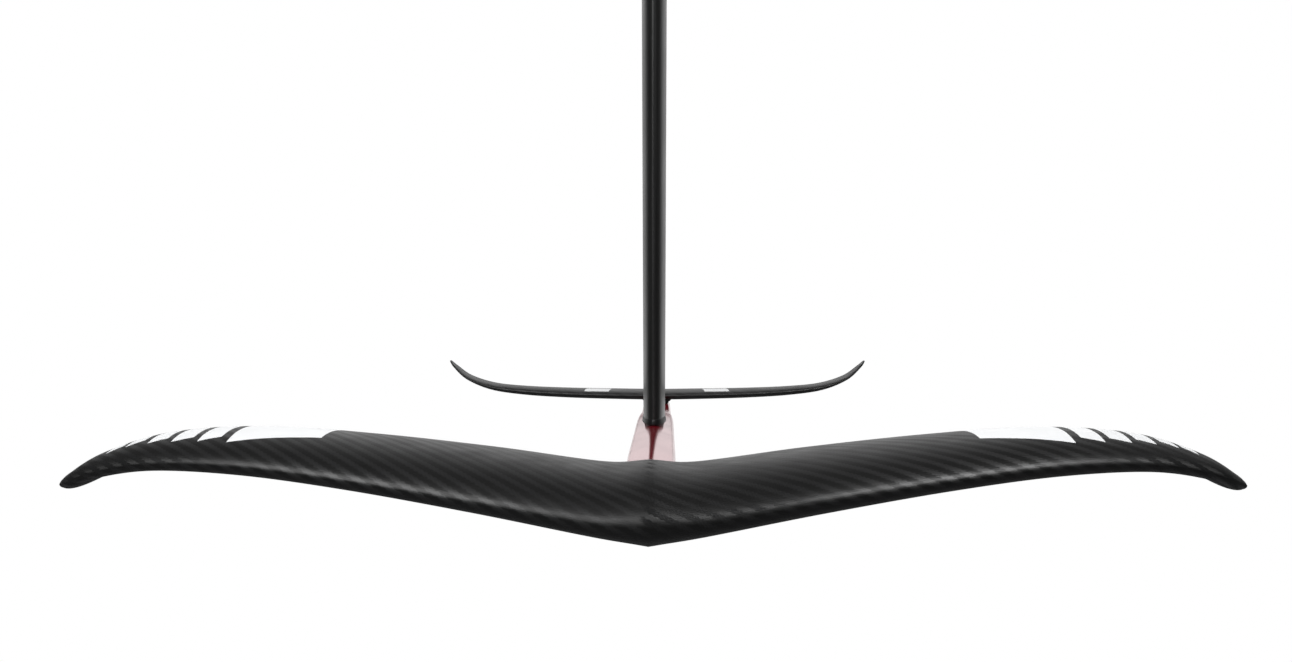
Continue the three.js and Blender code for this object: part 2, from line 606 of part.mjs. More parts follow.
// ---------------------------------------------------------------- stabiliser
/** The pad under the stabiliser's root, flared into the wing above it. */
function stabiliserPad() {
  const { width, flare, foot, roof, neck, length } = PAD;
  const half = width / 2;
  const flareStart = neck - flare / 2;
  const front = new THREE.Shape();
  front.moveTo(-half, foot);
  front.lineTo(half, foot);
  front.lineTo(half, flareStart);
  front.quadraticCurveTo(half, neck, half + flare, neck);
  front.lineTo(half + flare, roof);
  front.lineTo(-half - flare, roof);
  front.lineTo(-half - flare, neck);
  front.quadraticCurveTo(-half, neck, -half, flareStart);
  const depth = length + 20;
  const beam = new THREE.ExtrudeGeometry(front, { depth, bevelEnabled: false, curveSegments: 6 })
    .rotateX(Math.PI / 2).translate(0, depth / 2, 0);
  const plan = prism(roundedRectangle(width + 2 * flare, length, width / 2 + 2), -20, 20);
  return solid(beam).intersect(solid(plan)).translate([0, PAD_Y, 0]);
}

function stabiliser() {
  const group = new THREE.Group();
  const top = (k, part) => tail.mean(k, part) + tail.half(k, part);
  const bottom = (k, part) => tail.mean(k, part) - tail.half(k, part);
  const rows = tail.rows(-STABILISER.halfSpan, STABILISER.halfSpan, 2 * STABILISER.rows);
  const blade = solid(tail.body(rows, chordParts(0, 1, 9), top, bottom));
  const headZ = STABILISER.noseZ + top(0, 0.5) - SUNK.stabiliser;
  const rooms = STABILISER_SCREWS_Y.map((y) => screwRoom(M6, 30).translate([0, y, headZ]));
  group.add(piece('stabiliser', subtractAll(blade.add(stabiliserPad()), rooms), FINISH.carbon));

  const plan = roundedRectangle(PAD.width - 2 * SHIM.margin, PAD.length - 2 * SHIM.margin, PAD.width / 2 - 2);
  const shimTop = PAD.foot - GAP;
  const shim = solid(prism(plan, shimTop - SHIM.thickness, shimTop)).translate([0, PAD_Y, 0]);
  group.add(piece('stabiliser_shim', subtractAll(shim, rooms), FINISH.shim));
  STABILISER_SCREWS_Y.forEach((y, i) => {
    const screw = piece(`stabiliser_screw_${i + 1}`, screwSolid(M6, SCREW_LENGTH.stabiliser), FINISH.steel);
    screw.position.set(0, y, headZ);
    group.add(screw);
  });
  return group;
}

// ---------------------------------------------------------------- assembly
const foil = new THREE.Group();
foil.position.z = -PLATE.thickness - MAST.length;
foil.add(frontWing(), fuselage(), mast(), stabiliser());

const hydrofoil = new THREE.Group();
hydrofoil.add(basePlate(), foil);

export default hydrofoil;
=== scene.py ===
import logging
import math
from collections.abc import Callable, Sequence
from dataclasses import dataclass, field
from enum import Enum

import bmesh
import bpy
from mathutils import Matrix, Vector


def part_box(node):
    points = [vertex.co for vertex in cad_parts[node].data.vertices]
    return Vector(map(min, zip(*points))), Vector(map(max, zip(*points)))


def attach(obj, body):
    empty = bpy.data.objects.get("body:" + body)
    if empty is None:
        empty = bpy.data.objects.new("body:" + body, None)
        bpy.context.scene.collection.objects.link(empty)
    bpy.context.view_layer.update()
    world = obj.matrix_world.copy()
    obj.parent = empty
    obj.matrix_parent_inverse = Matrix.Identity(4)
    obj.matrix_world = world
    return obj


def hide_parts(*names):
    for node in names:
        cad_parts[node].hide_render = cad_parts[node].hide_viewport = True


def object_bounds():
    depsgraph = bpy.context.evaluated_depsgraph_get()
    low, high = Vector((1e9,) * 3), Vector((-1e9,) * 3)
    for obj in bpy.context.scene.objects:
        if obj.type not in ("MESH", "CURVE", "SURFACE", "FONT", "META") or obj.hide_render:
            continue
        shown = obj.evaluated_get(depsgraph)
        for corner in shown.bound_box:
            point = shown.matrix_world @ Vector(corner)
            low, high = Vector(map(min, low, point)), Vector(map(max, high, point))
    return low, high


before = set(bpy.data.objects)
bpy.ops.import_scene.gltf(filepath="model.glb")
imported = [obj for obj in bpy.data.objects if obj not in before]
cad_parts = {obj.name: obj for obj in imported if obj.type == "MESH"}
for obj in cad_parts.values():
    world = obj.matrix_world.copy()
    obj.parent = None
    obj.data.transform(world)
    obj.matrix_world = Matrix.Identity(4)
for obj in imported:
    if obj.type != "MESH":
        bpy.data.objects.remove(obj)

CAD_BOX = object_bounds()
MM = 0.001
BODY = "root"
FIT_GAP = 0.3
CROWN_DROP = 0.2  # the fuselage's ridge under its own datum
SHARP_ANGLE = math.radians(32)
log = logging.getLogger("hydrofoil")


class Slot(str, Enum):
    """The material slots of the part's record."""

    WING = "carbon_front_wing"
    MAST = "carbon_mast"
    STABILISER = "carbon_stabiliser"
    LAMINATE = "laminate"
    FOAM = "foam_core"
    FUSELAGE = "fuselage_red"
    BLACK = "black_anodised"
    STEEL = "steel"
    SHIM = "shim_black"


def box_mm(node: str) -> tuple[Vector, Vector]:
    """A CAD node's lowest and highest corners.

    Args:
        node: The node's name.

    Returns:
        The two corners in millimetres.
    """
    low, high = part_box(node)
    return Vector(low) / MM, Vector(high) / MM


DATUM_Z = box_mm("fuselage")[1].z + CROWN_DROP
PLATE_TOP = box_mm("base_plate")[1].z


# ---------------------------------------------------------------- materials
class Shader:
    """A procedural material whose nodes are added one at a time."""

    def __init__(self, name: str) -> None:
        """Start a material with one Principled surface.

        Args:
            name: The material's name.
        """
        self.material = bpy.data.materials.new(name)
        self.material.use_nodes = True
        self.tree = self.material.node_tree
        self.surface = self.tree.nodes["Principled BSDF"]

    def node(self, kind: str, **settings: object) -> bpy.types.Node:
        """Add one node.

        Args:
            kind: The node's class name.
            settings: Properties to set on the node.

        Returns:
            The new node.
        """
        made = self.tree.nodes.new(kind)
        for key, value in settings.items():
            setattr(made, key, value)
        return made

    def feed(self, socket: bpy.types.NodeSocket, value: object) -> None:
        """Link or set an input.

        Args:
            socket: The input socket.
            value: An output socket, or a plain value.
        """
        if isinstance(value, bpy.types.NodeSocket):
            self.tree.links.new(value, socket)
        else:
            socket.default_value = value

    def math(self, operation: str, *values: object) -> bpy.types.NodeSocket:
        """Combine numbers.

        Args:
            operation: The Math node's operation.
            values: Numbers or sockets, in order.

        Returns:
            The result's socket.
        """
        made = self.node("ShaderNodeMath", operation=operation)
        for socket, value in zip(made.inputs, values):
            self.feed(socket, value)
        return made.outputs[0]

    def noise(self, place: object, scale: float, detail: float = 3.0) -> bpy.types.NodeSocket:
        """Soft random values.

        Args:
            place: The coordinates' socket.
            scale: Grains for each metre.
            detail: How many finer layers are added.

        Returns:
            A socket with values around 0.5.
        """
        made = self.node("ShaderNodeTexNoise")
        self.feed(made.inputs["Vector"], place)
        made.inputs["Scale"].default_value = scale
        made.inputs["Detail"].default_value = detail
        return made.outputs["Fac"]

    def span(self, value: object, low: float, high: float, to_low: float,
             to_high: float) -> bpy.types.NodeSocket:
        """Rescale a number from one range to another, held inside it.

        Args:
            value: The number's socket.
            low: Where the first range starts.
            high: Where it ends.
            to_low: The result at its start.
            to_high: The result at its end.

        Returns:
            The result's socket.
        """
        made = self.node("ShaderNodeMapRange")
        for socket, number in zip(made.inputs, (value, low, high, to_low, to_high)):
            self.feed(socket, number)
        return made.outputs["Result"]

    def tint(self, factor: object, dark: Sequence[float], light: Sequence[float]) -> bpy.types.NodeSocket:
        """A colour between two others.

        Args:
            factor: 0 for the first colour, 1 for the second.
            dark: The first colour.
            light: The second colour.

        Returns:
            The colour's socket.
        """
        made = self.node("ShaderNodeMix", data_type="RGBA")
        self.feed(made.inputs[0], factor)
        self.feed(made.inputs[6], (*dark, 1.0))
        self.feed(made.inputs[7], (*light, 1.0))
        return made.outputs[2]

    def stretched(self, place: object, scale: Sequence[float]) -> bpy.types.NodeSocket:
        """Coordinates scaled along each axis.

        Args:
            place: The coordinates' socket.
            scale: The three factors.

        Returns:
            The new coordinates' socket.
        """
        made = self.node("ShaderNodeMapping")
        self.feed(made.inputs["Vector"], place)
        made.inputs["Scale"].default_value = scale
        return made.outputs[0]

    def object_place(self) -> bpy.types.NodeSocket:
        """The point's place in the piece's own frame."""
        return self.node("ShaderNodeTexCoord").outputs["Object"]

    def weave_place(self) -> bpy.types.NodeSocket:
        """The point's place on the cloth, in metres along the two directions of the weave."""
        return self.node("ShaderNodeUVMap", uv_map="weave").outputs["UV"]

    def bumped(self, height: object, distance: float, under: object = None) -> bpy.types.NodeSocket:
        """A surface normal that follows a height.

        Args:
            height: The height's socket.
            distance: Metres of relief for one unit of height.
            under: A normal that this one is added to.

        Returns:
            The normal's socket.
        """
        made = self.node("ShaderNodeBump")
        made.inputs["Distance"].default_value = distance
        self.feed(made.inputs["Height"], height)
        if under is not None:
            self.feed(made.inputs["Normal"], under)
        return made.outputs["Normal"]

    def set(self, **values: object) -> None:
        """Set the surface's inputs, named in lower case with underscores.

        Args:
            values: Sockets or plain values.
        """
        sockets = {socket.name.lower().replace(" ", "_"): socket for socket in self.surface.inputs}
        for key, value in values.items():
            self.feed(sockets[key], value)


@dataclass(frozen=True)
class CarbonTwill:
    """Carbon twill, each tow passing over four and under four, beneath a satin lacquer."""

    name: str
    tow: float = 1.55 * MM
    passes: int = 4  # tows that each float passes over
    bias: float = math.radians(4)  # the cloth's turn from the span
    relief: float = 0.012 * MM
    # dark is the cloth's black; light is painted sheen, the colour of the lengthwise tows on top, brightest
    # on their crowns
    dark: float = 0.005
    light: float = 0.011
    roughness: tuple[float, float] = (0.36, 0.46)
    anisotropy: float = 0.55
    coat: float = 0.05

    def weave(self, shader: Shader) -> tuple[bpy.types.NodeSocket, bpy.types.NodeSocket]:
        """Work out the cloth's pattern.

        Args:
            shader: The material that is made.

        Returns:
            1 where the lengthwise tow is on top and 0 elsewhere, and the height of the tows.
        """
        split = shader.node("ShaderNodeSeparateXYZ")
        turned = shader.node("ShaderNodeMapping")
        turned.inputs["Rotation"].default_value = (0.0, 0.0, self.bias)
        shader.feed(turned.inputs["Vector"], shader.weave_place())
        shader.feed(split.inputs[0], turned.outputs[0])
        across = shader.math("DIVIDE", split.outputs[0], self.tow)
        along = shader.math("DIVIDE", split.outputs[1], self.tow)
        across_part = shader.math("FRACT", across)
        along_part = shader.math("FRACT", along)
        step = shader.math("ADD", shader.math("FLOOR", across), shader.math("FLOOR", along))
        turn = shader.math("FLOORED_MODULO", step, 2.0 * self.passes)
        over = shader.math("LESS_THAN", turn, self.passes - 0.5)
        lengthwise = self.tow_height(shader, across_part, shader.math("ADD", turn, along_part))
        turn_under = shader.math("SUBTRACT", turn, float(self.passes))
        crosswise = self.tow_height(shader, along_part, shader.math("ADD", turn_under, across_part))
        height = shader.math("ADD", shader.math("MULTIPLY", over, lengthwise),
                             shader.math("MULTIPLY", shader.math("SUBTRACT", 1.0, over), crosswise))
        return over, height

    def tow_height(self, shader: Shader, part: object, run: object) -> bpy.types.NodeSocket:
        """The crowned height of one tow where it passes over others.

        Args:
            shader: The material that is made.
            part: Place across the tow, 0 to 1.
            run: Place along its float, in tows.

        Returns:
            The height's socket.
        """
        rest = shader.math("SUBTRACT", 1.0, part)
        crown = shader.math("MULTIPLY", shader.math("MULTIPLY", part, 4.0), rest)
        left = shader.math("SUBTRACT", float(self.passes), run)
        rise = shader.math("MULTIPLY", shader.math("MULTIPLY", run, 4.0 / self.passes**2), left)
        return shader.math("MULTIPLY", shader.math("SQRT", crown), shader.math("SQRT", rise))

    def make(self) -> bpy.types.Material:
        """Build the material.

        Returns:
            The material.
        """
        shader = Shader(self.name)
        over, height = self.weave(shader)
        place = shader.object_place()
        cloud = shader.span(shader.noise(place, 9.0), 0.3, 0.7, 0.75, 1.25)
        fibres = shader.noise(shader.stretched(place, (300.0, 2400.0, 2400.0)), 1.0)
        # Painted sheen: the lengthwise tows on top are lighter, most on their crowns, in place of the fibres'
        # reflection; the cloud varies it at random and the fibres add the cloth's own grain.
        tone = shader.math("MULTIPLY", shader.math("MULTIPLY", over, height), cloud)
        tone = shader.math("ADD", tone, shader.span(fibres, 0.3, 0.7, -0.12, 0.12))
        color = shader.tint(tone, (self.dark,) * 3, (self.light, self.light * 1.01, self.light * 1.04))
        scuffs = shader.span(shader.noise(place, 60.0, 6.0), 0.35, 0.7, 0.0, 0.07)
        rough = shader.span(over, 0.0, 1.0, self.roughness[1], self.roughness[0])
        normal = shader.bumped(height, self.relief)
        peel = shader.bumped(shader.noise(place, 420.0, 2.0), 0.02 * MM, normal)
        tangent = shader.node("ShaderNodeTangent", direction_type="UV_MAP", uv_map="weave")
        shader.set(base_color=color, roughness=shader.math("ADD", rough, scuffs), normal=peel,
                   anisotropic=self.anisotropy, anisotropic_rotation=shader.math("MULTIPLY", over, 0.25),
                   tangent=tangent.outputs[0],
                   coat_weight=self.coat, coat_roughness=0.3, specular_ior_level=0.42)
        return shader.material


@dataclass(frozen=True)
class SatinCarbon:
    """Unidirectional carbon with a fine lengthwise grain, rubbed to a satin."""

    name: str
    color: float = 0.008
    roughness: float = 0.36

    def make(self) -> bpy.types.Material:
        """Build the material.

        Returns:
            The material.
        """
        shader = Shader(self.name)
        place = shader.object_place()
        grain = shader.noise(shader.stretched(place, (2600.0, 900.0, 9.0)), 1.0, 4.0)
        cloud = shader.noise(place, 14.0)
        tone = shader.span(grain, 0.35, 0.7, 0.0, 1.0)
        color = shader.tint(tone, (self.color,) * 3, (self.color * 2.2,) * 3)
        rough = shader.math("ADD", shader.span(cloud, 0.3, 0.7, self.roughness - 0.04, self.roughness + 0.05),
                            shader.span(grain, 0.3, 0.7, 0.0, 0.05))
        normal = shader.bumped(grain, 0.012 * MM)
        shader.set(base_color=color, roughness=rough, normal=normal, coat_weight=0.15, coat_roughness=0.2)
        return shader.material


@dataclass(frozen=True)
class Paint:
    """A thin coat of white paint on the cloth."""

    name: str
    color: tuple[float, float, float] = (0.83, 0.84, 0.85)

    def make(self) -> bpy.types.Material:
        """Build the material.

        Returns:
            The material.
        """
        shader = Shader(self.name)
        _, height = CarbonTwill("pattern").weave(shader)
        place = shader.object_place()
        cloud = shader.span(shader.noise(place, 45.0, 5.0), 0.3, 0.75, 0.0, 1.0)
        dusty = tuple(value * 0.93 for value in self.color)
        normal = shader.bumped(height, 0.012 * MM)
        peel = shader.bumped(shader.noise(place, 700.0, 2.0), 0.012 * MM, normal)
        shader.set(base_color=shader.tint(cloud, self.color, dusty), normal=peel,
                   roughness=shader.span(cloud, 0.0, 1.0, 0.36, 0.46), coat_weight=0.2, coat_roughness=0.2)
        return shader.material


@dataclass(frozen=True)
class Anodised:
    """Anodised aluminium: a dyed colour over bead-blasted or polished metal."""

    name: str
    color: tuple[float, float, float]
    metallic: float
    roughness: float
    blast: float  # relief of the blasted grain, metres
    coat: float = 0.0
    edge_tint: tuple[float, float, float] = (1.0, 1.0, 1.0)

    def make(self) -> bpy.types.Material:
        """Build the material.

        Returns:
            The material.
        """
        shader = Shader(self.name)
        place = shader.object_place()
        cloud = shader.noise(place, 22.0, 4.0)
        grain = shader.noise(place, 3200.0, 2.0)
        deep = tuple(value * 0.72 for value in self.color)
        rough = shader.math("ADD", shader.span(cloud, 0.3, 0.7, self.roughness - 0.02, self.roughness + 0.03),
                            shader.span(grain, 0.3, 0.7, 0.0, 0.03))
        shader.set(base_color=shader.tint(shader.span(cloud, 0.35, 0.65, 0.0, 1.0), self.color, deep),
                   metallic=self.metallic, roughness=rough, normal=shader.bumped(grain, self.blast),
                   coat_weight=self.coat, coat_roughness=0.08, specular_tint=(*self.edge_tint, 1.0))
        return shader.material


@dataclass(frozen=True)
class Steel:
    """Turned stainless steel with fine rings."""

    name: str

    def make(self) -> bpy.types.Material:
        """Build the material.

        Returns:
            The material.
        """
        shader = Shader(self.name)
        place = shader.object_place()
        stain = shader.noise(place, 90.0, 5.0)
        lines = shader.noise(shader.stretched(place, (500.0, 500.0, 9000.0)), 1.0, 2.0)
        tone = shader.span(stain, 0.35, 0.7, 0.0, 1.0)
        color = shader.tint(tone, (0.6, 0.61, 0.62), (0.42, 0.42, 0.43))
        rough = shader.math("ADD", shader.span(stain, 0.3, 0.7, 0.2, 0.3),
                            shader.span(lines, 0.3, 0.7, 0.0, 0.1))
        shader.set(base_color=color, metallic=1.0, roughness=rough, normal=shader.bumped(lines, 0.01 * MM))
        return shader.material


@dataclass(frozen=True)
class Grained:
    """A plain inner stuff with a grain of its own: foam, laminate or nylon."""

    name: str
    dark: tuple[float, float, float]
    light: tuple[float, float, float]
    roughness: float
    scale: tuple[float, float, float]
    relief: float

    def make(self) -> bpy.types.Material:
        """Build the material.

        Returns:
            The material.
        """
        shader = Shader(self.name)
        place = shader.object_place()
        grain = shader.noise(shader.stretched(place, self.scale), 1.0, 4.0)
        speck = shader.noise(place, 1500.0, 2.0)
        tone = shader.span(shader.math("ADD", grain, speck), 0.7, 1.3, 0.0, 1.0)
        rough = shader.span(grain, 0.3, 0.7, self.roughness - 0.06, self.roughness + 0.06)
        shader.set(base_color=shader.tint(tone, self.dark, self.light), roughness=rough,
                   normal=shader.bumped(grain, self.relief))
        return shader.material


class Finishes:
    """Every finish of the hydrofoil, made once."""

    def __init__(self) -> None:
        """Build the materials."""
        self.wing = CarbonTwill("wing_carbon_twill").make()
        # The stabiliser's light colour is the same painted sheen on its tows on top.
        self.stabiliser = CarbonTwill("stabiliser_carbon_twill", dark=0.02, light=0.03,
                                      roughness=(0.42, 0.48), anisotropy=0.3).make()
        self.mast = SatinCarbon("mast_satin_carbon").make()
        self.paint = Paint("white_paint").make()
        self.red = Anodised("red_gloss_anodised", (0.3, 0.008, 0.02), 0.4, 0.14, 0.002 * MM,
                            coat=0.2, edge_tint=(1.0, 0.84, 0.87)).make()
        self.black = Anodised("black_blasted_anodised", (0.02, 0.02, 0.021), 0.5, 0.38, 0.012 * MM).make()
        self.steel = Steel("turned_stainless_steel").make()
        self.laminate = Grained("raw_laminate", (0.015, 0.016, 0.018), (0.06, 0.062, 0.066), 0.6,
                                (60.0, 60.0, 2600.0), 0.05 * MM).make()
        self.foam = Grained("core_foam", (0.52, 0.44, 0.27), (0.72, 0.65, 0.46), 0.9,
                            (900.0, 900.0, 900.0), 0.2 * MM).make()
        self.nylon = Grained("black_nylon", (0.006, 0.006, 0.007), (0.02, 0.02, 0.021), 0.55,
                             (800.0, 800.0, 800.0), 0.02 * MM).make()


# ---------------------------------------------------------------- mesh making
Ring = list[Vector]


def wrapped(rings: Sequence[Ring], work: bmesh.types.BMesh | None = None,
            around: bool = True) -> bmesh.types.BMesh:
    """Bend a grid over rings of points and close it into a solid.

    Args:
        rings: Rings of equal length; an open ring's last point meets its first.
        work: A mesh that the solid is added to.
        around: Whether the seam from the last point to the first still has to be closed.

    Returns:
        The mesh, with cloth coordinates in its layer named weave.
    """
    made = bmesh.new()
    rows = [ring + [ring[0]] if around else ring for ring in rings]
    tall, wide = len(rows) - 1, len(rows[0]) - 1
    bmesh.ops.create_grid(made, x_segments=wide, y_segments=tall, size=0.5)
    weave = made.loops.layers.uv.new("weave")
    lengths = [arc_lengths(row) for row in rows]
    places = {v: (round((v.co.y + 0.5) * tall), round((v.co.x + 0.5) * wide)) for v in made.verts}
    for face in made.faces:
        for loop in face.loops:
            row, column = places[loop.vert]
            loop[weave].uv = (weave_across(rows[row][column]) * MM, lengths[row][column] * MM)
    for vert, (row, column) in places.items():
        vert.co = rows[row][column]
    bmesh.ops.remove_doubles(made, verts=made.verts, dist=1e-4)
    bmesh.ops.dissolve_degenerate(made, edges=made.edges, dist=1e-5)
    bmesh.ops.holes_fill(made, edges=[edge for edge in made.edges if edge.is_boundary], sides=0)
    bmesh.ops.recalc_face_normals(made, faces=made.faces)
    if work is None:
        return made
    spare = bpy.data.meshes.new("spare")
    made.to_mesh(spare)
    work.from_mesh(spare)
    bpy.data.meshes.remove(spare)
    made.free()
    return work


def weave_across(point: Vector) -> float:
    """The cloth's second coordinate: across the wings, or up the mast."""
    return point.x + point.z


def arc_lengths(row: Ring) -> list[float]:
    """Distances along a row of points, counted from its middle.

    Args:
        row: The points.

    Returns:
        One distance for each point.
    """
    total = [0.0]
    for first, second in zip(row, row[1:]):
        total.append(total[-1] + (second - first).length)
    middle = total[len(total) // 2]
    return [middle - value for value in total]


def finished(work: bmesh.types.BMesh, name: str,
             materials: Sequence[bpy.types.Material]) -> bpy.types.Object:
    """Turn a mesh in millimetres into a smooth object in metres.

    Args:
        work: The mesh, which is used up.
        name: The object's name.
        materials: Its materials, in slot order.

    Returns:
        The object, at the origin.
    """
    bmesh.ops.scale(work, vec=(MM, MM, MM), verts=work.verts)
    for face in work.faces:
        face.smooth = True
    mesh = bpy.data.meshes.new(name)
    work.to_mesh(mesh)
    work.free()
    mesh.set_sharp_from_angle(angle=SHARP_ANGLE)
    for material in materials:
        mesh.materials.append(material)
    made = bpy.data.objects.new(name, mesh)
    bpy.context.scene.collection.objects.link(made)
    return made


def combine(piece: bpy.types.Object, cutter: bmesh.types.BMesh, operation: str = "DIFFERENCE") -> None:
    """Cut a piece with a mesh, or join the mesh to it.

    Args:
        piece: The object that changes.
        cutter: The other mesh, in millimetres, which is used up.
        operation: The Boolean modifier's operation.
    """
    tool = finished(cutter, "tool", [])
    modifier = piece.modifiers.new("cut", "BOOLEAN")
    modifier.operation = operation
    modifier.solver = "EXACT"
    modifier.object = tool
    graph = bpy.context.evaluated_depsgraph_get()
    changed = bpy.data.meshes.new_from_object(piece.evaluated_get(graph))
    piece.modifiers.clear()
    spare = piece.data
    piece.data = changed
    changed.name = piece.name
    bpy.data.meshes.remove(spare)
    tool_mesh = tool.data
    bpy.data.objects.remove(tool)
    bpy.data.meshes.remove(tool_mesh)
    changed.set_sharp_from_angle(angle=SHARP_ANGLE)


def hand_in(piece: bpy.types.Object, slot: Slot, *nodes: str) -> None:
    """Hide the CAD nodes that a piece stands for and attach it to the body.

    Args:
        piece: The object.
        slot: Its material slot; not used.
        nodes: The CAD nodes that it stands for.
    """
    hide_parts(*nodes)
    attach(piece, BODY)
    log.info("%s: %d faces", piece.name, len(piece.data.polygons))


def dress(node: str, material: bpy.types.Material) -> None:
    """Give a CAD node that stays its material.

    Args:
        node: The node's name.
        material: The material.
    """
    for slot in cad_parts[node].material_slots:
        slot.material = material
    log.info("%s: kept", node)


def smooth_value(values: Sequence[float], k: float) -> float:
    """A value at a place k counted in entries, on a smooth curve through them.

    Args:
        values: The entries.
        k: The place, 0 at the first entry.

    Returns:
        The value.
    """
    last = len(values) - 1
    i = min(int(k), last - 1)
    t = k - i
    before = values[i - 1] if i > 0 else 2 * values[0] - values[1]
    after = values[i + 2] if i + 2 <= last else 2 * values[last] - values[last - 1]
    b, c = values[i], values[i + 1]
    cubic = (3 * b - before - 3 * c + after) * t**3
    return 0.5 * (2 * b + (c - before) * t + (2 * before - 5 * b + 4 * c - after) * t * t + cubic)


def arc(centre: Sequence[float], radii: Sequence[float], start: float, end: float,
        count: int) -> list[Vector]:
    """Points on part of an ellipse.

    Args:
        centre: Its centre.
        radii: Its two radii.
        start: The first angle in degrees.
        end: The last angle in degrees.
        count: How many steps.

    Returns:
        count + 1 points.
    """
    angles = (math.radians(start + (end - start) * i / count) for i in range(count + 1))
    return [Vector((centre[0] + radii[0] * math.cos(a), centre[1] + radii[1] * math.sin(a))) for a in angles]


def rounded_outline(width: float, length: float, corner: float, steps: int = 10) -> list[Vector]:
    """A rectangle with round corners around the origin.

    Args:
        width: Its size along X.
        length: Its size along Y.
        corner: The corners' radius.
        steps: Steps in each corner.

    Returns:
        The outline's points.
    """
    x, y = width / 2 - corner, length / 2 - corner
    corners = ((x, -y, -90), (x, y, 0), (-x, y, 90), (-x, -y, 180))
    points = []
    for cx, cy, turn in corners:
        points += arc((cx, cy), (corner, corner), turn, turn + 90, steps)
    return points


def at_height(outline: Sequence[Vector], z: float, y: float = 0.0, x: float = 0.0) -> Ring:
    """Lift a flat outline to a height.

    Args:
        outline: The outline's points.
        z: The height.
        y: How far it is moved along Y.
        x: How far it is moved along X.

    Returns:
        The ring of points.
    """
    return [Vector((point.x + x, point.y + y, z)) for point in outline]


# ---------------------------------------------------------------- foils
@dataclass(frozen=True)
class Station:
    """One section of a foil, in millimetres and degrees."""

    across: float  # part of the half span
    setback: float  # of the leading edge, from the nose
    rise: float
    chord: float
    thickness: float
    camber: float
    twist: float


@dataclass(frozen=True)
class Foil:
    """A symmetric wing surface through a table of sections."""

    half_span: float
    nose: Vector
    edge: float
    stations: tuple[Station, ...]
    tip_round: float = 2.0
    camber_at: float = 0.42

    def value(self, key: str, k: float) -> float:
        """One value of the table at a place k."""
        return smooth_value([getattr(station, key) for station in self.stations], k)

    def reach(self, k: float) -> float:
        """Distance from the centre line at a place k."""
        return self.value("across", k) * self.half_span

    def place_at(self, x: float) -> float:
        """The place k at a distance from the centre line.

        Args:
            x: The distance.

        Returns:
            The place, counted in stations.
        """
        low, high = 0.0, float(len(self.stations) - 1)
        for _ in range(40):
            middle = (low + high) / 2
            if self.reach(middle) < x:
                low = middle
            else:
                high = middle
        return low

    def roll(self, k: float) -> float:
        """How far the section leans, following the leading edge.

        Args:
            k: The place.

        Returns:
            The angle in radians.
        """
        step = 0.02
        a, b = max(k - step, 0.0), min(k + step, len(self.stations) - 1.0)
        slope = (self.value("rise", b) - self.value("rise", a)) / (self.reach(b) - self.reach(a))
        return math.atan(slope) * min(1.0, self.reach(k) / 20)

    def half(self, k: float, part: float) -> float:
        """Half the section's thickness, rounded off at the trailing edge.

        Args:
            k: The place.
            part: Part of the chord.

        Returns:
            The half thickness.
        """
        root = math.sqrt(max(part, 0.0))
        curve = 0.2969 * root - 0.126 * part - 0.3516 * part**2 + 0.2843 * part**3 - 0.1036 * part**4
        full = 5 * self.value("thickness", k) * curve
        blunt = self.edge / 2
        left = (1 - part) * self.value("chord", k)
        if left < blunt:
            return math.sqrt(max(blunt**2 - (blunt - left) ** 2, 0.0))
        return max(full, blunt) if part > 0.5 else full

    def mean(self, k: float, part: float) -> float:
        """Height of the mean line above the chord.

        Args:
            k: The place.
            part: Part of the chord.

        Returns:
            The height.
        """
        p = self.camber_at
        m = self.value("camber", k) * self.value("chord", k)
        if part < p:
            return m / p**2 * (2 * p * part - part**2)
        return m / (1 - p) ** 2 * (1 - 2 * p + 2 * p * part - part**2)

    def point(self, k: float, side: float, part: float, height: float) -> Vector:
        """A point of the wing.

        Args:
            k: The place along the span.
            side: -1 or 1.
            part: Part of the chord.
            height: Height above the chord.

        Returns:
            The point in the part's frame.
        """
        twist, roll = math.radians(self.value("twist", k)), self.roll(k)
        run = part * self.value("chord", k)
        y = run * math.cos(twist) + height * math.sin(twist)
        z = height * math.cos(twist) - run * math.sin(twist)
        offset = Vector((side * (self.reach(k) - z * math.sin(roll)),
                         self.value("setback", k) + y, self.value("rise", k) + z * math.cos(roll)))
        return self.nose + offset

    def ring(self, x: float, count: int, grow: float = 0.0) -> Ring:
        """The section at a distance from the centre line, from the trailing edge over the top.

        Args:
            x: The distance, negative on the left.
            count: Points around it.
            grow: How far the surface is moved out.

        Returns:
            The open ring, whose last point meets its first.
        """
        k, side = self.place_at(abs(x)), -1.0 if x < 0 else 1.0
        inset = max(abs(x) - (self.half_span - self.tip_round), 0.0) / self.tip_round
        squeeze = math.sqrt(max(1 - inset**2, 0.0)) if not grow else 1.0
        points = []
        for i in range(count + 1):
            angle = 2 * math.pi * i / count
            part = (1 + math.cos(angle)) / 2
            height = self.half(k, part) * squeeze + grow
            signed = height if i * 2 <= count else -height
            points.append(self.point(k, side, part, self.mean(k, part) + signed))
        return [*points, points[0].copy()] if grow else points

    def rings(self, reach: float, across: int, count: int, grow: float = 0.0) -> list[Ring]:
        """Sections from one side to the other, closer together towards the tips.

        Args:
            reach: How far the outermost sections are from the centre line.
            across: How many steps.
            count: Points around each.
            grow: How far the surface is moved out.

        Returns:
            The rings.
        """
        turns = (math.pi * (i / across - 0.5) for i in range(across + 1))
        return [self.ring(reach * math.sin(turn), count, grow) for turn in turns]


def upper_faces(work: bmesh.types.BMesh, centre: Vector, reach: float) -> list[bmesh.types.BMFace]:
    """The faces on a wing's upper side around a place.

    Args:
        work: The wing's mesh.
        centre: The place, seen from above.
        reach: How far the faces may be from it.

    Returns:
        The faces.
    """
    return [face for face in work.faces
            if face.normal.z > 0.2 and (face.calc_center_median().xy - centre).length < reach]


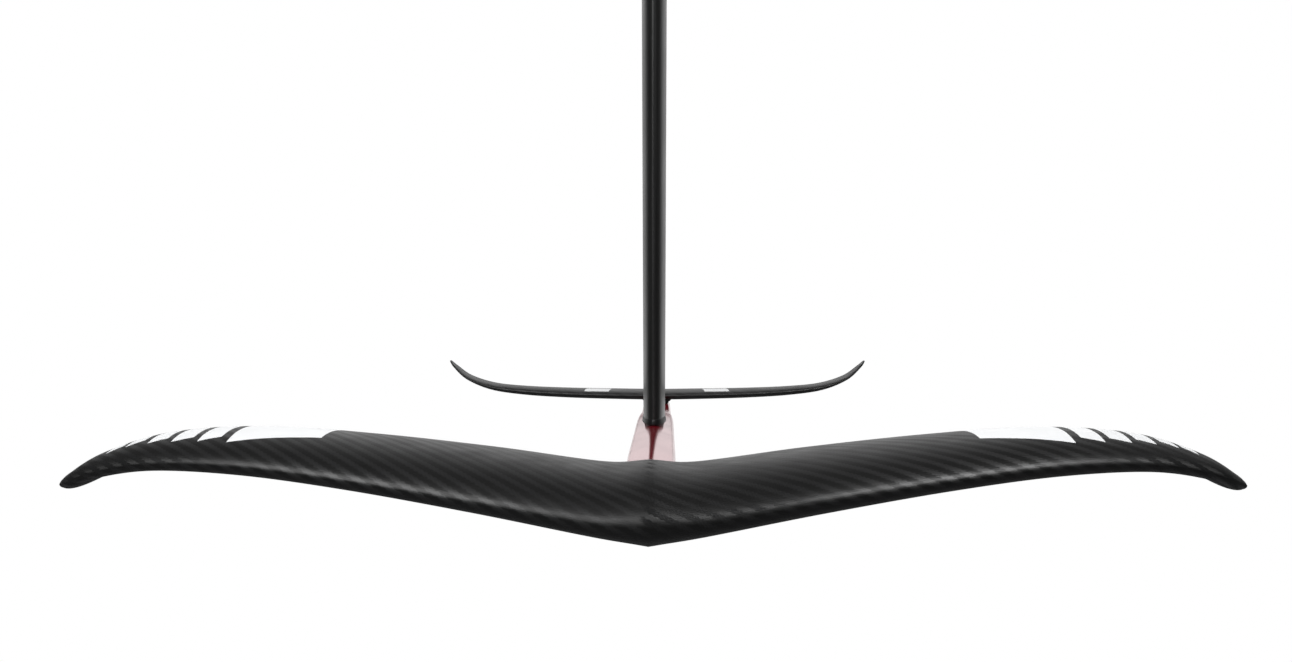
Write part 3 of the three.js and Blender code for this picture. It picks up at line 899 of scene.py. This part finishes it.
def paint_patch(work: bmesh.types.BMesh, corners: Sequence[Vector], slot: int) -> None:
    """Cut a four-sided patch into a wing's upper side and give it a material.

    Args:
        work: The wing's mesh.
        corners: The patch's corners seen from above, in order.
        slot: The material's place in the object's slots.
    """
    centre = sum(corners, Vector((0.0, 0.0))) / len(corners)
    reach = max((corner - centre).length for corner in corners) + 8
    sides = []
    for first, second in zip(corners, [*corners[1:], corners[0]]):
        normal = Vector((second.y - first.y, first.x - second.x, 0.0)).normalized()
        if normal.xy.dot(centre - first) > 0:
            normal = -normal
        sides.append((first, normal))
        faces = upper_faces(work, centre, reach)
        edges = {edge for face in faces for edge in face.edges}
        verts = {vert for face in faces for vert in face.verts}
        bmesh.ops.bisect_plane(work, geom=[*verts, *edges, *faces], dist=1e-4, plane_co=(*first, 0.0),
                               plane_no=normal)
    for face in upper_faces(work, centre, reach):
        middle = face.calc_center_median().xy
        if all(normal.xy.dot(middle - first) < 0 for first, normal in sides):
            face.material_index = slot


# ---------------------------------------------------------------- fasteners
@dataclass(frozen=True)
class ScrewSize:
    """A countersunk socket screw."""

    radius: float
    head_radius: float
    head_height: float
    hex_across: float
    hex_depth: float
    pitch: float
    segments: int = 48

    def build(self, name: str, place: Vector, length: float, up: bool,
              steel: bpy.types.Material) -> bpy.types.Object:
        """Make one screw.

        Args:
            name: The screw's name.
            place: The centre of its head's flat face.
            length: Its whole length.
            up: Whether its head points up.
            steel: Its material.

        Returns:
            The screw.
        """
        rim = 0.35
        profile = [(0.0, 0.0), (self.head_radius - 0.25, 0.0), (self.head_radius, -0.2),
                   (self.head_radius, -rim), (self.radius, -self.head_height)]
        z = -self.head_height - self.pitch
        while z - self.pitch > -length + self.pitch:
            profile += [(self.radius, z), (self.radius - 0.55 * self.pitch, z - self.pitch / 2)]
            z -= self.pitch
        profile += [(self.radius - 0.6, -length + 0.3), (self.radius - 0.9, -length), (0.0, -length)]
        work = bmesh.new()
        verts = [work.verts.new((r, 0.0, height)) for r, height in profile]
        edges = [work.edges.new(pair) for pair in zip(verts, verts[1:])]
        bmesh.ops.spin(work, geom=[*verts, *edges], cent=(0, 0, 0), axis=(0, 0, 1), angle=math.tau,
                       steps=self.segments, use_merge=True, use_duplicate=False)
        bmesh.ops.remove_doubles(work, verts=work.verts, dist=1e-4)
        bmesh.ops.recalc_face_normals(work, faces=work.faces)
        self.settle(work, place, up)
        screw = finished(work, name, [steel])
        socket = bmesh.new()
        across = self.hex_across / math.sqrt(3)
        bmesh.ops.create_cone(socket, cap_ends=True, segments=6, radius1=across, radius2=across,
                              depth=2 * self.hex_depth)
        self.settle(socket, place, up)
        combine(screw, socket)
        return screw

    def settle(self, work: bmesh.types.BMesh, place: Vector, up: bool) -> None:
        """Turn a mesh so that the head points up or down, and put it in place.

        Args:
            work: The mesh.
            place: The centre of the head's flat face.
            up: Whether the head points up.
        """
        if not up:
            bmesh.ops.rotate(work, cent=(0, 0, 0), matrix=Matrix.Rotation(math.pi, 3, "X"), verts=work.verts)
        bmesh.ops.translate(work, vec=place, verts=work.verts)

    def room(self, work: bmesh.types.BMesh, place: Vector, up: bool, depth: float) -> None:
        """Add the countersunk hole that the screw needs to a cutter.

        Args:
            work: The cutter's mesh.
            place: The centre of the head's flat face.
            up: Whether the head points up.
            depth: How deep the hole goes.
        """
        sign = 1 if up else -1
        steps = ((self.radius, -depth), (self.radius, -self.head_height), (self.head_radius, -0.4),
                 (self.head_radius, 0.3), (self.head_radius, 12.0))
        rings = [at_height(arc((0, 0), (r + FIT_GAP, r + FIT_GAP), 0, 360, self.segments)[:-1],
                           place.z + sign * z, place.y, place.x) for r, z in steps]
        wrapped(rings, work)


M6 = ScrewSize(radius=3, head_radius=6, head_height=3.3, hex_across=4, hex_depth=2.2, pitch=1.0)
M8 = ScrewSize(radius=4, head_radius=7.5, head_height=4.2, hex_across=5, hex_depth=3, pitch=1.25)


def screw_places(stem: str, count: int, up: bool) -> list[Vector]:
    """Where a row of screws has its heads.

    Args:
        stem: The screws' node name without its number.
        count: How many there are.
        up: Whether the heads point up.

    Returns:
        The centres of their flat faces.
    """
    places = []
    for number in range(1, count + 1):
        low, high = box_mm(f"{stem}_{number}")
        middle = (low + high) / 2
        places.append(Vector((0.0, middle.y, high.z if up else low.z)))
    return places


def add_screws(size: ScrewSize, stem: str, places: Sequence[Vector], up: bool,
               steel: bpy.types.Material) -> None:
    """Build a row of screws in place of the CAD's.

    Args:
        size: The screws' size.
        stem: The screws' node name without its number.
        places: The centres of their heads.
        up: Whether the heads point up.
        steel: Their material.
    """
    for number, place in enumerate(places, start=1):
        low, high = box_mm(f"{stem}_{number}")
        screw = size.build(f"{stem}_{number}_fine", place, high.z - low.z, up, steel)
        hand_in(screw, Slot.STEEL, f"{stem}_{number}")


# ---------------------------------------------------------------- front wing
@dataclass(frozen=True)
class Stripe:
    """A painted patch of the front wing: its front edge, seen from above, on the right side."""

    inner: float
    outer: float
    front_inner: float
    front_outer: float

    def corners(self, side: float, aft: float, lean: float) -> list[Vector]:
        """The patch's corners.

        Args:
            side: -1 or 1.
            aft: Where the patch ends along Y.
            lean: Millimetres inwards for each millimetre aft.

        Returns:
            The corners in order.
        """
        aft_inner = self.inner - lean * (aft - self.front_inner)
        aft_outer = self.outer - lean * (aft - self.front_outer)
        return [Vector((side * self.inner, self.front_inner)), Vector((side * self.outer, self.front_outer)),
                Vector((side * aft_outer, aft)), Vector((side * aft_inner, aft))]


@dataclass
class FrontWing:
    """The carbon front wing with its painted bars and its screws."""

    finishes: Finishes
    fuselage: "Fuselage"
    seat_depth: float = 14.0
    across: int = 240
    around: int = 112
    stripe_aft: float = -188.0
    stripe_lean: float = 0.07
    stripes: tuple[Stripe, ...] = (
        Stripe(168.5, 217.0, -281.0, -283.0),
        Stripe(221.6, 233.9, -273.0, -275.0),
        Stripe(237.5, 249.3, -267.0, -268.0),
        Stripe(253.0, 263.8, -259.5, -260.0),
        Stripe(267.7, 278.0, -250.0, -251.0),
        Stripe(281.0, 290.0, -245.0, -245.5),
    )
    foil: Foil = field(init=False)

    def __post_init__(self) -> None:
        """Work out the wing's surface."""
        low, _ = box_mm("front_wing_top_skin")
        stations = (
            Station(0.0, 0, 0.0, 200, 36.4, 0.035, 0),
            Station(0.08, 5, 1.2, 198, 29.8, 0.038, 0),
            Station(0.26, 21, 9.3, 190, 26.0, 0.04, 0),
            Station(0.46, 44, 16.9, 174, 22.8, 0.04, 0),
            Station(0.64, 66, 21.8, 154, 20.9, 0.04, 0.3),
            Station(0.8, 89, 21.0, 128, 16.6, 0.04, 0.3),
            Station(0.91, 110, 14.6, 98, 12.2, 0.035, 1),
            Station(0.97, 125, 7.4, 70, 9.3, 0.02, 2),
            Station(0.993, 138, 5.2, 38, 5.4, 0.01, 2),
            Station(1.0, 143, 5.0, 12, 2.8, 0, 2),
        )
        self.foil = Foil(321.0, Vector((0.0, low.y, DATUM_Z - 23.5)), 1.2, stations)

    def build(self) -> None:
        """Make the wing, cut its seat and screw holes, and add the screws."""
        work = wrapped(self.foil.rings(self.foil.half_span, self.across, self.around), around=False)
        for stripe in self.stripes:
            for side in (-1.0, 1.0):
                paint_patch(work, stripe.corners(side, self.stripe_aft, self.stripe_lean), 1)
        wing = finished(work, "front_wing", [self.finishes.wing, self.finishes.paint])
        combine(wing, self.fuselage.wing_socket(self.seat_depth))
        places = screw_places("front_wing_screw", 3, up=False)
        holes = bmesh.new()
        for place in places:
            M6.room(holes, place, up=False, depth=26)
        combine(wing, holes)
        hand_in(wing, Slot.WING, "front_wing_top_skin", "front_wing_bottom_skin")
        add_screws(M6, "front_wing_screw", places, False, self.finishes.steel)
        for side in ("left", "right"):
            dress(f"front_wing_core_{side}", self.finishes.foam)
        dress("front_wing_mount_block", self.finishes.laminate)

    def seat_cutter(self) -> bmesh.types.BMesh:
        """The wing's root below its seat, grown by the fit gap.

        Returns:
            The mesh that is cut from the fuselage.
        """
        root = wrapped(self.foil.rings(40.0, 24, self.around, FIT_GAP), around=False)
        cut_flat(root, DATUM_Z - self.seat_depth + FIT_GAP, keep_above=False)
        return root


def cut_flat(work: bmesh.types.BMesh, z: float, keep_above: bool) -> None:
    """Cut a solid off at a height and close it.

    Args:
        work: The solid's mesh.
        z: The height.
        keep_above: Whether the upper part stays.
    """
    bmesh.ops.bisect_plane(work, geom=[*work.verts, *work.edges, *work.faces], dist=1e-5, plane_co=(0, 0, z),
                           plane_no=(0, 0, 1), clear_inner=keep_above, clear_outer=not keep_above)
    bmesh.ops.holes_fill(work, edges=[edge for edge in work.edges if edge.is_boundary], sides=0)
    bmesh.ops.recalc_face_normals(work, faces=work.faces)


# ---------------------------------------------------------------- fuselage
@dataclass(frozen=True)
class Former:
    """One cross-section of the fuselage, heights above its datum."""

    y: float
    width: float
    top: float
    bottom: float


@dataclass
class Fuselage:
    """The red fuselage, with the roof-shaped back that the mast's foot straddles."""

    finishes: Finishes
    ridge: float = 3.4
    ridge_drop: float = 0.6
    crease: float = 0.77
    roof_drop: float = 2.9
    shoulder: float = 4.6
    belly: float = 9.0
    tail_seat: float = 207.0  # where the stabiliser's flat seat starts
    seat_run: float = 40.0  # over which the roof flattens out before it
    steps: int = 9
    formers: tuple[Former, ...] = (
        Former(-275, 26.6, -0.2, -24.3),
        Former(-168, 26.6, -0.2, -24.3),
        Former(-140, 26.4, -0.2, -26.8),
        Former(-105, 26.2, -0.2, -28.5),
        Former(-40, 25.8, -0.2, -28.8),
        Former(60, 25.2, -0.2, -28.6),
        Former(110, 24.2, -1.0, -27.4),
        Former(160, 22.8, -3.0, -25.6),
        Former(203, 21.4, -4.2, -24.0),
        Former(272, 20.0, -4.2, -22.2),
        Former(284, 15.0, -6.8, -20.8),
        Former(287, 9.0, -9.8, -18.0),
    )

    def ring(self, former: Former, grow: float = 0.0) -> Ring:
        """The outline of one cross-section.

        Args:
            former: The cross-section.
            grow: How far the outline is moved out.

        Returns:
            The ring of points.
        """
        half = former.width / 2 + grow
        roof = min(max((self.tail_seat - former.y) / self.seat_run, 0.0), 1.0)
        crease = half * self.crease
        ridge_z = former.top + grow
        crease_z = ridge_z - self.roof_drop * roof
        low = former.bottom - grow
        shoulder = min(self.shoulder, (crease_z - low) * 0.35)
        belly = min(self.belly, (crease_z - low) * 0.5, half * 0.8)
        side = [Vector((0.0, ridge_z))]
        for part in (0.25, 0.5, 0.75, 1.0):
            side.append(Vector((self.ridge * part, ridge_z - self.ridge_drop * roof * part**2)))
        slope = Vector((crease, crease_z)) - side[-1]
        side += [side[-1] + slope * part for part in (0.33, 0.66, 0.95)]
        side += arc((crease, crease_z - shoulder), (half - crease, shoulder), 84, 0, self.steps)
        side += [Vector((half, (crease_z - shoulder + low + belly) / 2))]
        side += arc((half - belly, low + belly), (belly, belly), 0, -90, self.steps)
        mirrored = [Vector((-point.x, point.y)) for point in reversed(side[1:])]
        outline = [*side, *mirrored]
        return [Vector((point.x, former.y, DATUM_Z + point.y)) for point in outline]

    def blank(self, grow: float = 0.0) -> bmesh.types.BMesh:
        """The fuselage before anything is cut from it.

        Args:
            grow: How far its surface is moved out.

        Returns:
            The closed mesh.
        """
        last = len(self.formers) - 1
        count = last * self.steps
        rings = []
        for i in range(count + 1):
            k = i * last / count
            values = (smooth_value([getattr(former, key) for former in self.formers], k)
                      for key in ("y", "width", "top", "bottom"))
            rings.append(self.ring(Former(*values), grow))
        return wrapped(rings)

    def wing_socket(self, depth: float) -> bmesh.types.BMesh:
        """The room that the fuselage's front end needs in the wing.

        Args:
            depth: How far it reaches below the datum.

        Returns:
            The mesh that is cut from the wing.
        """
        room = self.blank(FIT_GAP)
        front = [vert for vert in room.verts if vert.co.y < self.formers[0].y + 0.01]
        bmesh.ops.translate(room, vec=(0, -FIT_GAP, 0), verts=front)
        cut_flat(room, DATUM_Z - depth, keep_above=True)
        return room

    def build(self, wing_cutter: bmesh.types.BMesh) -> None:
        """Make the fuselage, cut its seats and holes, and dress its inserts.

        Args:
            wing_cutter: The wing's root, which is cut from it.
        """
        body = finished(self.blank(), "fuselage_fine", [self.finishes.red])
        combine(body, wing_cutter)
        places = screw_places("mast_foot_screw", 2, up=False)
        holes = bmesh.new()
        for place in places:
            M8.room(holes, place, up=False, depth=30)
        combine(body, holes)
        hand_in(body, Slot.FUSELAGE, "fuselage")
        add_screws(M8, "mast_foot_screw", places, False, self.finishes.steel)
        for number in (1, 2, 3):
            dress(f"wing_thread_insert_{number}", self.finishes.steel)
        for number in (1, 2):
            dress(f"tail_thread_insert_{number}", self.finishes.steel)


# ---------------------------------------------------------------- mast
@dataclass
class Mast:
    """The carbon mast, its foot and its head."""

    finishes: Finishes
    fuselage: Fuselage
    length: float = 700.0
    foot_chord: float = 108.0
    head_chord: float = 118.0
    foot_thickness: float = 14.0
    head_thickness: float = 19.6
    widest_at: float = 0.38
    edge: float = 0.8
    rows: int = 60
    steps: int = 24

    def outline(self, z: float, grow: float = 0.0) -> list[Vector]:
        """The mast's section at a height above the datum.

        Args:
            z: The height.
            grow: How far the outline is moved out.

        Returns:
            The outline, starting at the trailing edge.
        """
        share = z / self.length
        chord = self.foot_chord + (self.head_chord - self.foot_chord) * share
        half = (self.foot_thickness + (self.head_thickness - self.foot_thickness) * share) / 2 + grow
        wide = chord * (self.widest_at - 0.5)
        front, back = chord * self.widest_at + grow, chord * (1 - self.widest_at) + grow
        tail = Vector((self.edge, wide + back - self.edge))
        flank = []
        for i in range(1, self.steps + 1):
            t = i / self.steps
            bend = Vector((half, wide + back / 2))
            flank.append(tail * (1 - t) ** 2 + bend * (2 * t * (1 - t)) + Vector((half, wide)) * t * t)
        right = arc((0, tail.y), (self.edge, self.edge), 90, 0, 4) + flank[:-1]
        left = [Vector((-point.x, point.y)) for point in reversed(right[1:])]
        return right + arc((0, wide), (half, front), 0, -180, 2 * self.steps) + left

    def build(self) -> None:
        """Make the mast's shell, dress its core, foot and head."""
        low, high = box_mm("mast_skin")
        rings = []
        for i in range(self.rows + 1):
            z = low.z + (high.z - low.z) * i / self.rows
            rings.append(at_height(self.outline(z - DATUM_Z), z))
        mast = finished(wrapped(rings), "mast", [self.finishes.mast])
        hand_in(mast, Slot.MAST, "mast_skin")
        self.build_foot(low.z)
        for number in (1, 2):
            dress(f"mast_foot_thread_insert_{number}", self.finishes.steel)
        for number in (1, 2, 3):
            dress(f"mast_head_thread_insert_{number}", self.finishes.steel)
        dress("mast_core", self.finishes.foam)
        dress("mast_head", self.finishes.black)

    def build_foot(self, mast_low: float) -> None:
        """Make the foot: a collar around the mast's end that straddles the fuselage.

        Args:
            mast_low: The height of the mast's lower end.
        """
        collar = ((-0.4, mast_low + 0.2), (0.1, mast_low - 0.1), (0.3, mast_low - 0.5), (0.5, mast_low - 1.4),
                  (0.8, DATUM_Z + 0.9), (0.7, DATUM_Z + 0.5), (-0.1, DATUM_Z - 0.3), (-1.4, DATUM_Z - 3))
        rings = [at_height(self.outline(0.0, grow), z) for grow, z in collar]
        foot = finished(wrapped(rings), "mast_foot_fine", [self.finishes.black])
        combine(foot, self.fuselage.blank(FIT_GAP / 2))
        hand_in(foot, Slot.BLACK, "mast_foot")


# ---------------------------------------------------------------- base plate
@dataclass
class BasePlate:
    """The plate that bolts to the board, with a boss around the mast's head."""

    finishes: Finishes
    mast: Mast
    corner: float = 22.0
    thickness: float = 10.0
    boss_wall: float = 4.5
    boss_height: float = 12.0
    boss_fillet: float = 4.0
    slot_spacing: tuple[float, float] = (90.0, 165.0)
    slot_size: tuple[float, float] = (18.0, 9.0)
    chamfer: float = 0.7

    def build(self) -> None:
        """Make the plate and its screws."""
        low, high = box_mm("base_plate")
        slab = self.stack(rounded_outline, (high.x - low.x, high.y - low.y, self.corner))
        plate = finished(slab, "base_plate_fine", [self.finishes.black])
        combine(plate, self.boss(), "UNION")
        cutter = self.slots()
        places = screw_places("base_plate_screw", 3, up=True)
        for place in places:
            M8.room(cutter, place, up=True, depth=30)
        combine(plate, cutter)
        combine(plate, self.socket())
        hand_in(plate, Slot.BLACK, "base_plate")
        add_screws(M8, "base_plate_screw", places, True, self.finishes.steel)

    def stack(self, outline: Callable[..., list[Vector]],
              size: tuple[float, float, float]) -> bmesh.types.BMesh:
        """A flat slab whose upper and lower edges are broken.

        Args:
            outline: The function that draws its outline.
            size: Width, length and corner radius.

        Returns:
            The closed mesh.
        """
        width, length, corner = size
        edge = self.chamfer
        bottom = PLATE_TOP - self.thickness
        levels = ((edge, bottom), (edge * 0.3, bottom + edge * 0.3), (0.0, bottom + edge),
                  (0.0, PLATE_TOP - edge), (edge * 0.3, PLATE_TOP - edge * 0.3), (edge, PLATE_TOP))
        return wrapped([at_height(outline(width - 2 * inset, length - 2 * inset, corner - inset), z)
                        for inset, z in levels])

    def boss(self) -> bmesh.types.BMesh:
        """The boss under the plate, with a fillet at its root.

        Returns:
            The closed mesh.
        """
        bottom = PLATE_TOP - self.thickness
        levels = [(self.boss_wall + self.boss_fillet, bottom + 1.0)]
        for point in arc((self.boss_fillet, -self.boss_fillet), (self.boss_fillet,) * 2, 90, 180, 8):
            levels.append((self.boss_wall + point.x, bottom + point.y))
        for point in arc((-1.5, -self.boss_height + 1.5), (1.5, 1.5), 0, -90, 5):
            levels.append((self.boss_wall + point.x, bottom + point.y))
        return wrapped([at_height(self.mast.outline(self.mast.length, grow), z) for grow, z in levels])

    def socket(self) -> bmesh.types.BMesh:
        """The socket for the mast's head.

        Returns:
            The mesh that is cut from the boss.
        """
        top = PLATE_TOP - self.thickness
        low = top - self.boss_height
        levels = ((FIT_GAP + 0.6, low - 4), (FIT_GAP + 0.6, low), (FIT_GAP, low + 0.6), (FIT_GAP, top))
        return wrapped([at_height(self.mast.outline(self.mast.length, grow), z) for grow, z in levels])

    def slots(self) -> bmesh.types.BMesh:
        """The four slots for the board's bolts, with broken edges.

        Returns:
            The mesh that is cut from the plate.
        """
        work = bmesh.new()
        bottom = PLATE_TOP - self.thickness
        levels = ((self.chamfer, bottom - 3), (self.chamfer, bottom), (0.0, bottom + self.chamfer),
                  (0.0, PLATE_TOP - self.chamfer), (self.chamfer, PLATE_TOP), (self.chamfer, PLATE_TOP + 3))
        for side_x in (-0.5, 0.5):
            for side_y in (-0.5, 0.5):
                wrapped([at_height(rounded_outline(self.slot_size[0] + 2 * grow, self.slot_size[1] + 2 * grow,
                                                   self.slot_size[1] / 2 + grow - 0.01), z,
                                   side_y * self.slot_spacing[1], side_x * self.slot_spacing[0])
                         for grow, z in levels], work)
        return work


# ---------------------------------------------------------------- stabiliser
@dataclass
class Stabiliser:
    """The carbon tail wing on its pad and shim."""

    finishes: Finishes
    across: int = 160
    around: int = 80
    pad_width: float = 21.0
    pad_length: float = 58.0
    pad_flare: float = 3.0
    pad_foot: float = -2.6
    underside: float = -0.9
    pad_y: float = 244.0
    patch: tuple[float, float, float, float] = (37.0, 56.0, 218.0, 262.0)
    foil: Foil = field(init=False)

    def __post_init__(self) -> None:
        """Work out the tail wing's surface."""
        stations = (
            Station(0.0, 0, 0.0, 68, 7.0, -0.01, -0.9),
            Station(0.2, 2, 0.4, 67, 6.9, -0.01, -0.9),
            Station(0.42, 7, 1.1, 62, 6.6, -0.01, -0.9),
            Station(0.62, 13, 2.6, 55, 6.1, -0.01, -0.9),
            Station(0.78, 21, 5.4, 46, 4.8, -0.01, -0.9),
            Station(0.9, 33, 11.6, 34, 2.9, -0.01, -0.9),
            Station(0.97, 45, 20.0, 20, 2.0, -0.01, -0.9),
            Station(1.0, 57, 24.6, 6, 1.3, 0, -0.9),
        )
        low, _ = box_mm("stabiliser")
        self.foil = Foil(165.0, Vector((0.0, low.y, DATUM_Z + 2.3)), 1.0, stations, tip_round=1.5)

    def pad(self) -> bmesh.types.BMesh:
        """The pad under the root, flared into the wing.

        Returns:
            The closed mesh.
        """
        foot = DATUM_Z + self.pad_foot
        flare_height = self.underside - self.pad_foot - 0.5
        levels = [(-0.5, foot)]
        for point in arc((self.pad_flare, foot + 0.5), (self.pad_flare, flare_height), 180, 90, 8):
            levels.append((point.x, point.y))
        levels.append((self.pad_flare, DATUM_Z + 1.2))
        rings = []
        for grow, z in levels:
            width = self.pad_width + 2 * grow
            outline = rounded_outline(width, self.pad_length + grow * 0.4, width / 2 - 0.1, 12)
            rings.append(at_height(outline, z, self.pad_y))
        return wrapped(rings)

    def build(self) -> None:
        """Make the tail wing, its pad and its screws, and dress the shim."""
        work = wrapped(self.foil.rings(self.foil.half_span, self.across, self.around), around=False)
        inner, outer, front, aft = self.patch
        for side in (-1.0, 1.0):
            corners = [Vector((side * inner, front)), Vector((side * outer, front + 1.5)),
                       Vector((side * (outer - 2), aft)), Vector((side * (inner - 2), aft))]
            paint_patch(work, corners, 1)
        wing = finished(work, "stabiliser_fine", [self.finishes.stabiliser, self.finishes.paint])
        combine(wing, self.pad(), "UNION")
        places = screw_places("stabiliser_screw", 2, up=True)
        holes = bmesh.new()
        for place in places:
            M6.room(holes, place, up=True, depth=24)
        combine(wing, holes)
        hand_in(wing, Slot.STABILISER, "stabiliser")
        add_screws(M6, "stabiliser_screw", places, True, self.finishes.steel)
        dress("stabiliser_shim", self.finishes.nylon)


# ---------------------------------------------------------------- studio
@dataclass(frozen=True)
class Softbox:
    """A rectangular lamp: where it stands from its aim in millimetres, its size in metres, its power."""

    name: str
    offset: tuple[float, float, float]
    size: tuple[float, float]
    power: float
    reflected: bool = True

    def build(self, aim: Vector) -> None:
        """Add the lamp, out of the camera's sight.

        Args:
            aim: Where it points, in millimetres.
        """
        lamp = bpy.data.lights.new(self.name, "AREA")
        lamp.shape = "RECTANGLE"
        lamp.size, lamp.size_y = self.size
        lamp.energy = self.power
        made = bpy.data.objects.new(self.name, lamp)
        offset = Vector(self.offset)
        made.location = (aim + offset) * MM
        made.rotation_euler = (-offset).to_track_quat("-Z", "Y").to_euler()
        made.visible_camera = False
        made.visible_glossy = self.reflected
        bpy.context.scene.collection.objects.link(made)


@dataclass
class Studio:
    """A white studio: bright behind the object, dark behind the camera."""

    floor_drop: float = 420.0
    floor_size: float = 6.0
    lens: float = 53.58
    sensor: float = 36.0
    camera_offset: Vector = field(default_factory=lambda: Vector((10.2, -1250.0, 94.3)))
    mast_front: float = -13.0
    pan: float = 0.01246
    pitch: float = math.radians(1.638)
    back_level: float = 1.0
    dim_level: float = 0.03
    lamps: tuple[Softbox, ...] = (
        Softbox("fill_above", (0.0, -400.0, 1900.0), (2.4, 1.2), 15.0, reflected=False),
        Softbox("front_left", (-1030.0, -940.0, 1050.0), (1.0, 1.1), 25.0),
        Softbox("front_right", (1090.0, -580.0, 1375.0), (0.7, 0.6), 20.0),
    )

    def build(self) -> None:
        """Set up the view, the world, the floor, the lights and the camera."""
        bpy.context.scene.view_settings.view_transform = "Standard"
        self.world()
        self.floor()
        datum = Vector((0.0, self.mast_front, DATUM_Z))
        aim = datum + Vector((0.0, -200.0, 0.0))
        for lamp in self.lamps:
            lamp.build(aim)
        self.camera(datum)

    def world(self) -> None:
        """Light from all round: white behind the object, dim in front of it and overhead."""
        world = bpy.data.worlds.new("studio")
        bpy.context.scene.world = world
        world.use_nodes = True
        tree = world.node_tree
        nodes, links = tree.nodes, tree.links
        place = nodes.new("ShaderNodeTexCoord")
        split = nodes.new("ShaderNodeSeparateXYZ")
        links.new(place.outputs["Generated"], split.inputs[0])
        sideways = nodes.new("ShaderNodeMath")
        sideways.operation = "ABSOLUTE"
        links.new(split.outputs[0], sideways.inputs[0])
        ahead = self.ramp(tree, split.outputs[1], -0.2, 0.2, 0.0, 1.0)
        narrow = self.ramp(tree, sideways.outputs[0], 0.14, 0.65, 1.0, 0.0)
        low = self.ramp(tree, split.outputs[2], 0.15, 0.78, 1.0, 0.03)
        lit = self.product(tree, self.product(tree, ahead, narrow), low)
        dim = self.ramp(tree, lit, 0.0, 1.0, self.dim_level, self.back_level)
        path = nodes.new("ShaderNodeLightPath")
        seen = nodes.new("ShaderNodeMath")
        seen.operation = "MAXIMUM"
        links.new(path.outputs["Is Camera Ray"], seen.inputs[0])
        links.new(dim, seen.inputs[1])
        background = nodes["Background"]
        background.inputs["Color"].default_value = (1.0, 1.0, 1.0, 1.0)
        links.new(seen.outputs[0], background.inputs["Strength"])

    def ramp(self, tree: bpy.types.NodeTree, source: bpy.types.NodeSocket,
             *limits: float) -> bpy.types.NodeSocket:
        """Soften a number from one range to another.

        Args:
            tree: The node tree.
            source: The number.
            limits: The first range's start and end, then the results at both.

        Returns:
            The result's socket.
        """
        made = tree.nodes.new("ShaderNodeMapRange")
        made.interpolation_type = "SMOOTHSTEP"
        tree.links.new(source, made.inputs[0])
        for socket, number in zip(made.inputs[1:5], limits):
            socket.default_value = number
        return made.outputs[0]

    def product(self, tree: bpy.types.NodeTree, *factors: bpy.types.NodeSocket) -> bpy.types.NodeSocket:
        """Multiply two numbers.

        Args:
            tree: The node tree.
            factors: The two numbers.

        Returns:
            The result's socket.
        """
        made = tree.nodes.new("ShaderNodeMath")
        made.operation = "MULTIPLY"
        for socket, source in zip(made.inputs, factors):
            tree.links.new(source, socket)
        return made.outputs[0]

    def floor(self) -> None:
        """A wide pale floor well below the object."""
        work = bmesh.new()
        bmesh.ops.create_grid(work, x_segments=1, y_segments=1, size=self.floor_size / MM / 2)
        low = Vector(CAD_BOX[0]).z / MM - self.floor_drop
        bmesh.ops.translate(work, vec=(0, 0, low), verts=work.verts)
        shader = Shader("floor_white")
        shader.set(base_color=(0.16, 0.16, 0.165, 1.0), roughness=0.9)
        path = shader.node("ShaderNodeLightPath")
        glow = shader.node("ShaderNodeEmission")
        mix = shader.node("ShaderNodeMixShader")
        shader.feed(mix.inputs[0], path.outputs["Is Camera Ray"])
        shader.feed(mix.inputs[1], shader.surface.outputs[0])
        shader.feed(mix.inputs[2], glow.outputs[0])
        shader.feed(shader.tree.nodes["Material Output"].inputs["Surface"], mix.outputs[0])
        finished(work, "floor", [shader.material])

    def camera(self, datum: Vector) -> None:
        """Place the camera in front of the foil, a little above its fuselage.

        Args:
            datum: The front of the mast on top of the fuselage.
        """
        data = bpy.data.cameras.new("camera")
        data.lens = self.lens
        data.sensor_width = self.sensor
        data.clip_end = 200.0
        camera = bpy.data.objects.new("camera", data)
        camera.location = (datum + self.camera_offset) * MM
        camera.rotation_euler = (math.pi / 2 - self.pitch, 0.0, self.pan)
        bpy.context.scene.collection.objects.link(camera)
        bpy.context.scene.camera = camera


def main() -> None:
    """Build the hydrofoil and its studio."""
    logging.basicConfig(level=logging.INFO, format="%(name)s: %(message)s")
    finishes = Finishes()
    fuselage = Fuselage(finishes)
    wing = FrontWing(finishes, fuselage)
    wing.build()
    fuselage.build(wing.seat_cutter())
    mast = Mast(finishes, fuselage)
    mast.build()
    BasePlate(finishes, mast).build()
    Stabiliser(finishes).build()
    Studio().build()


if __name__ == "__main__":
    main()
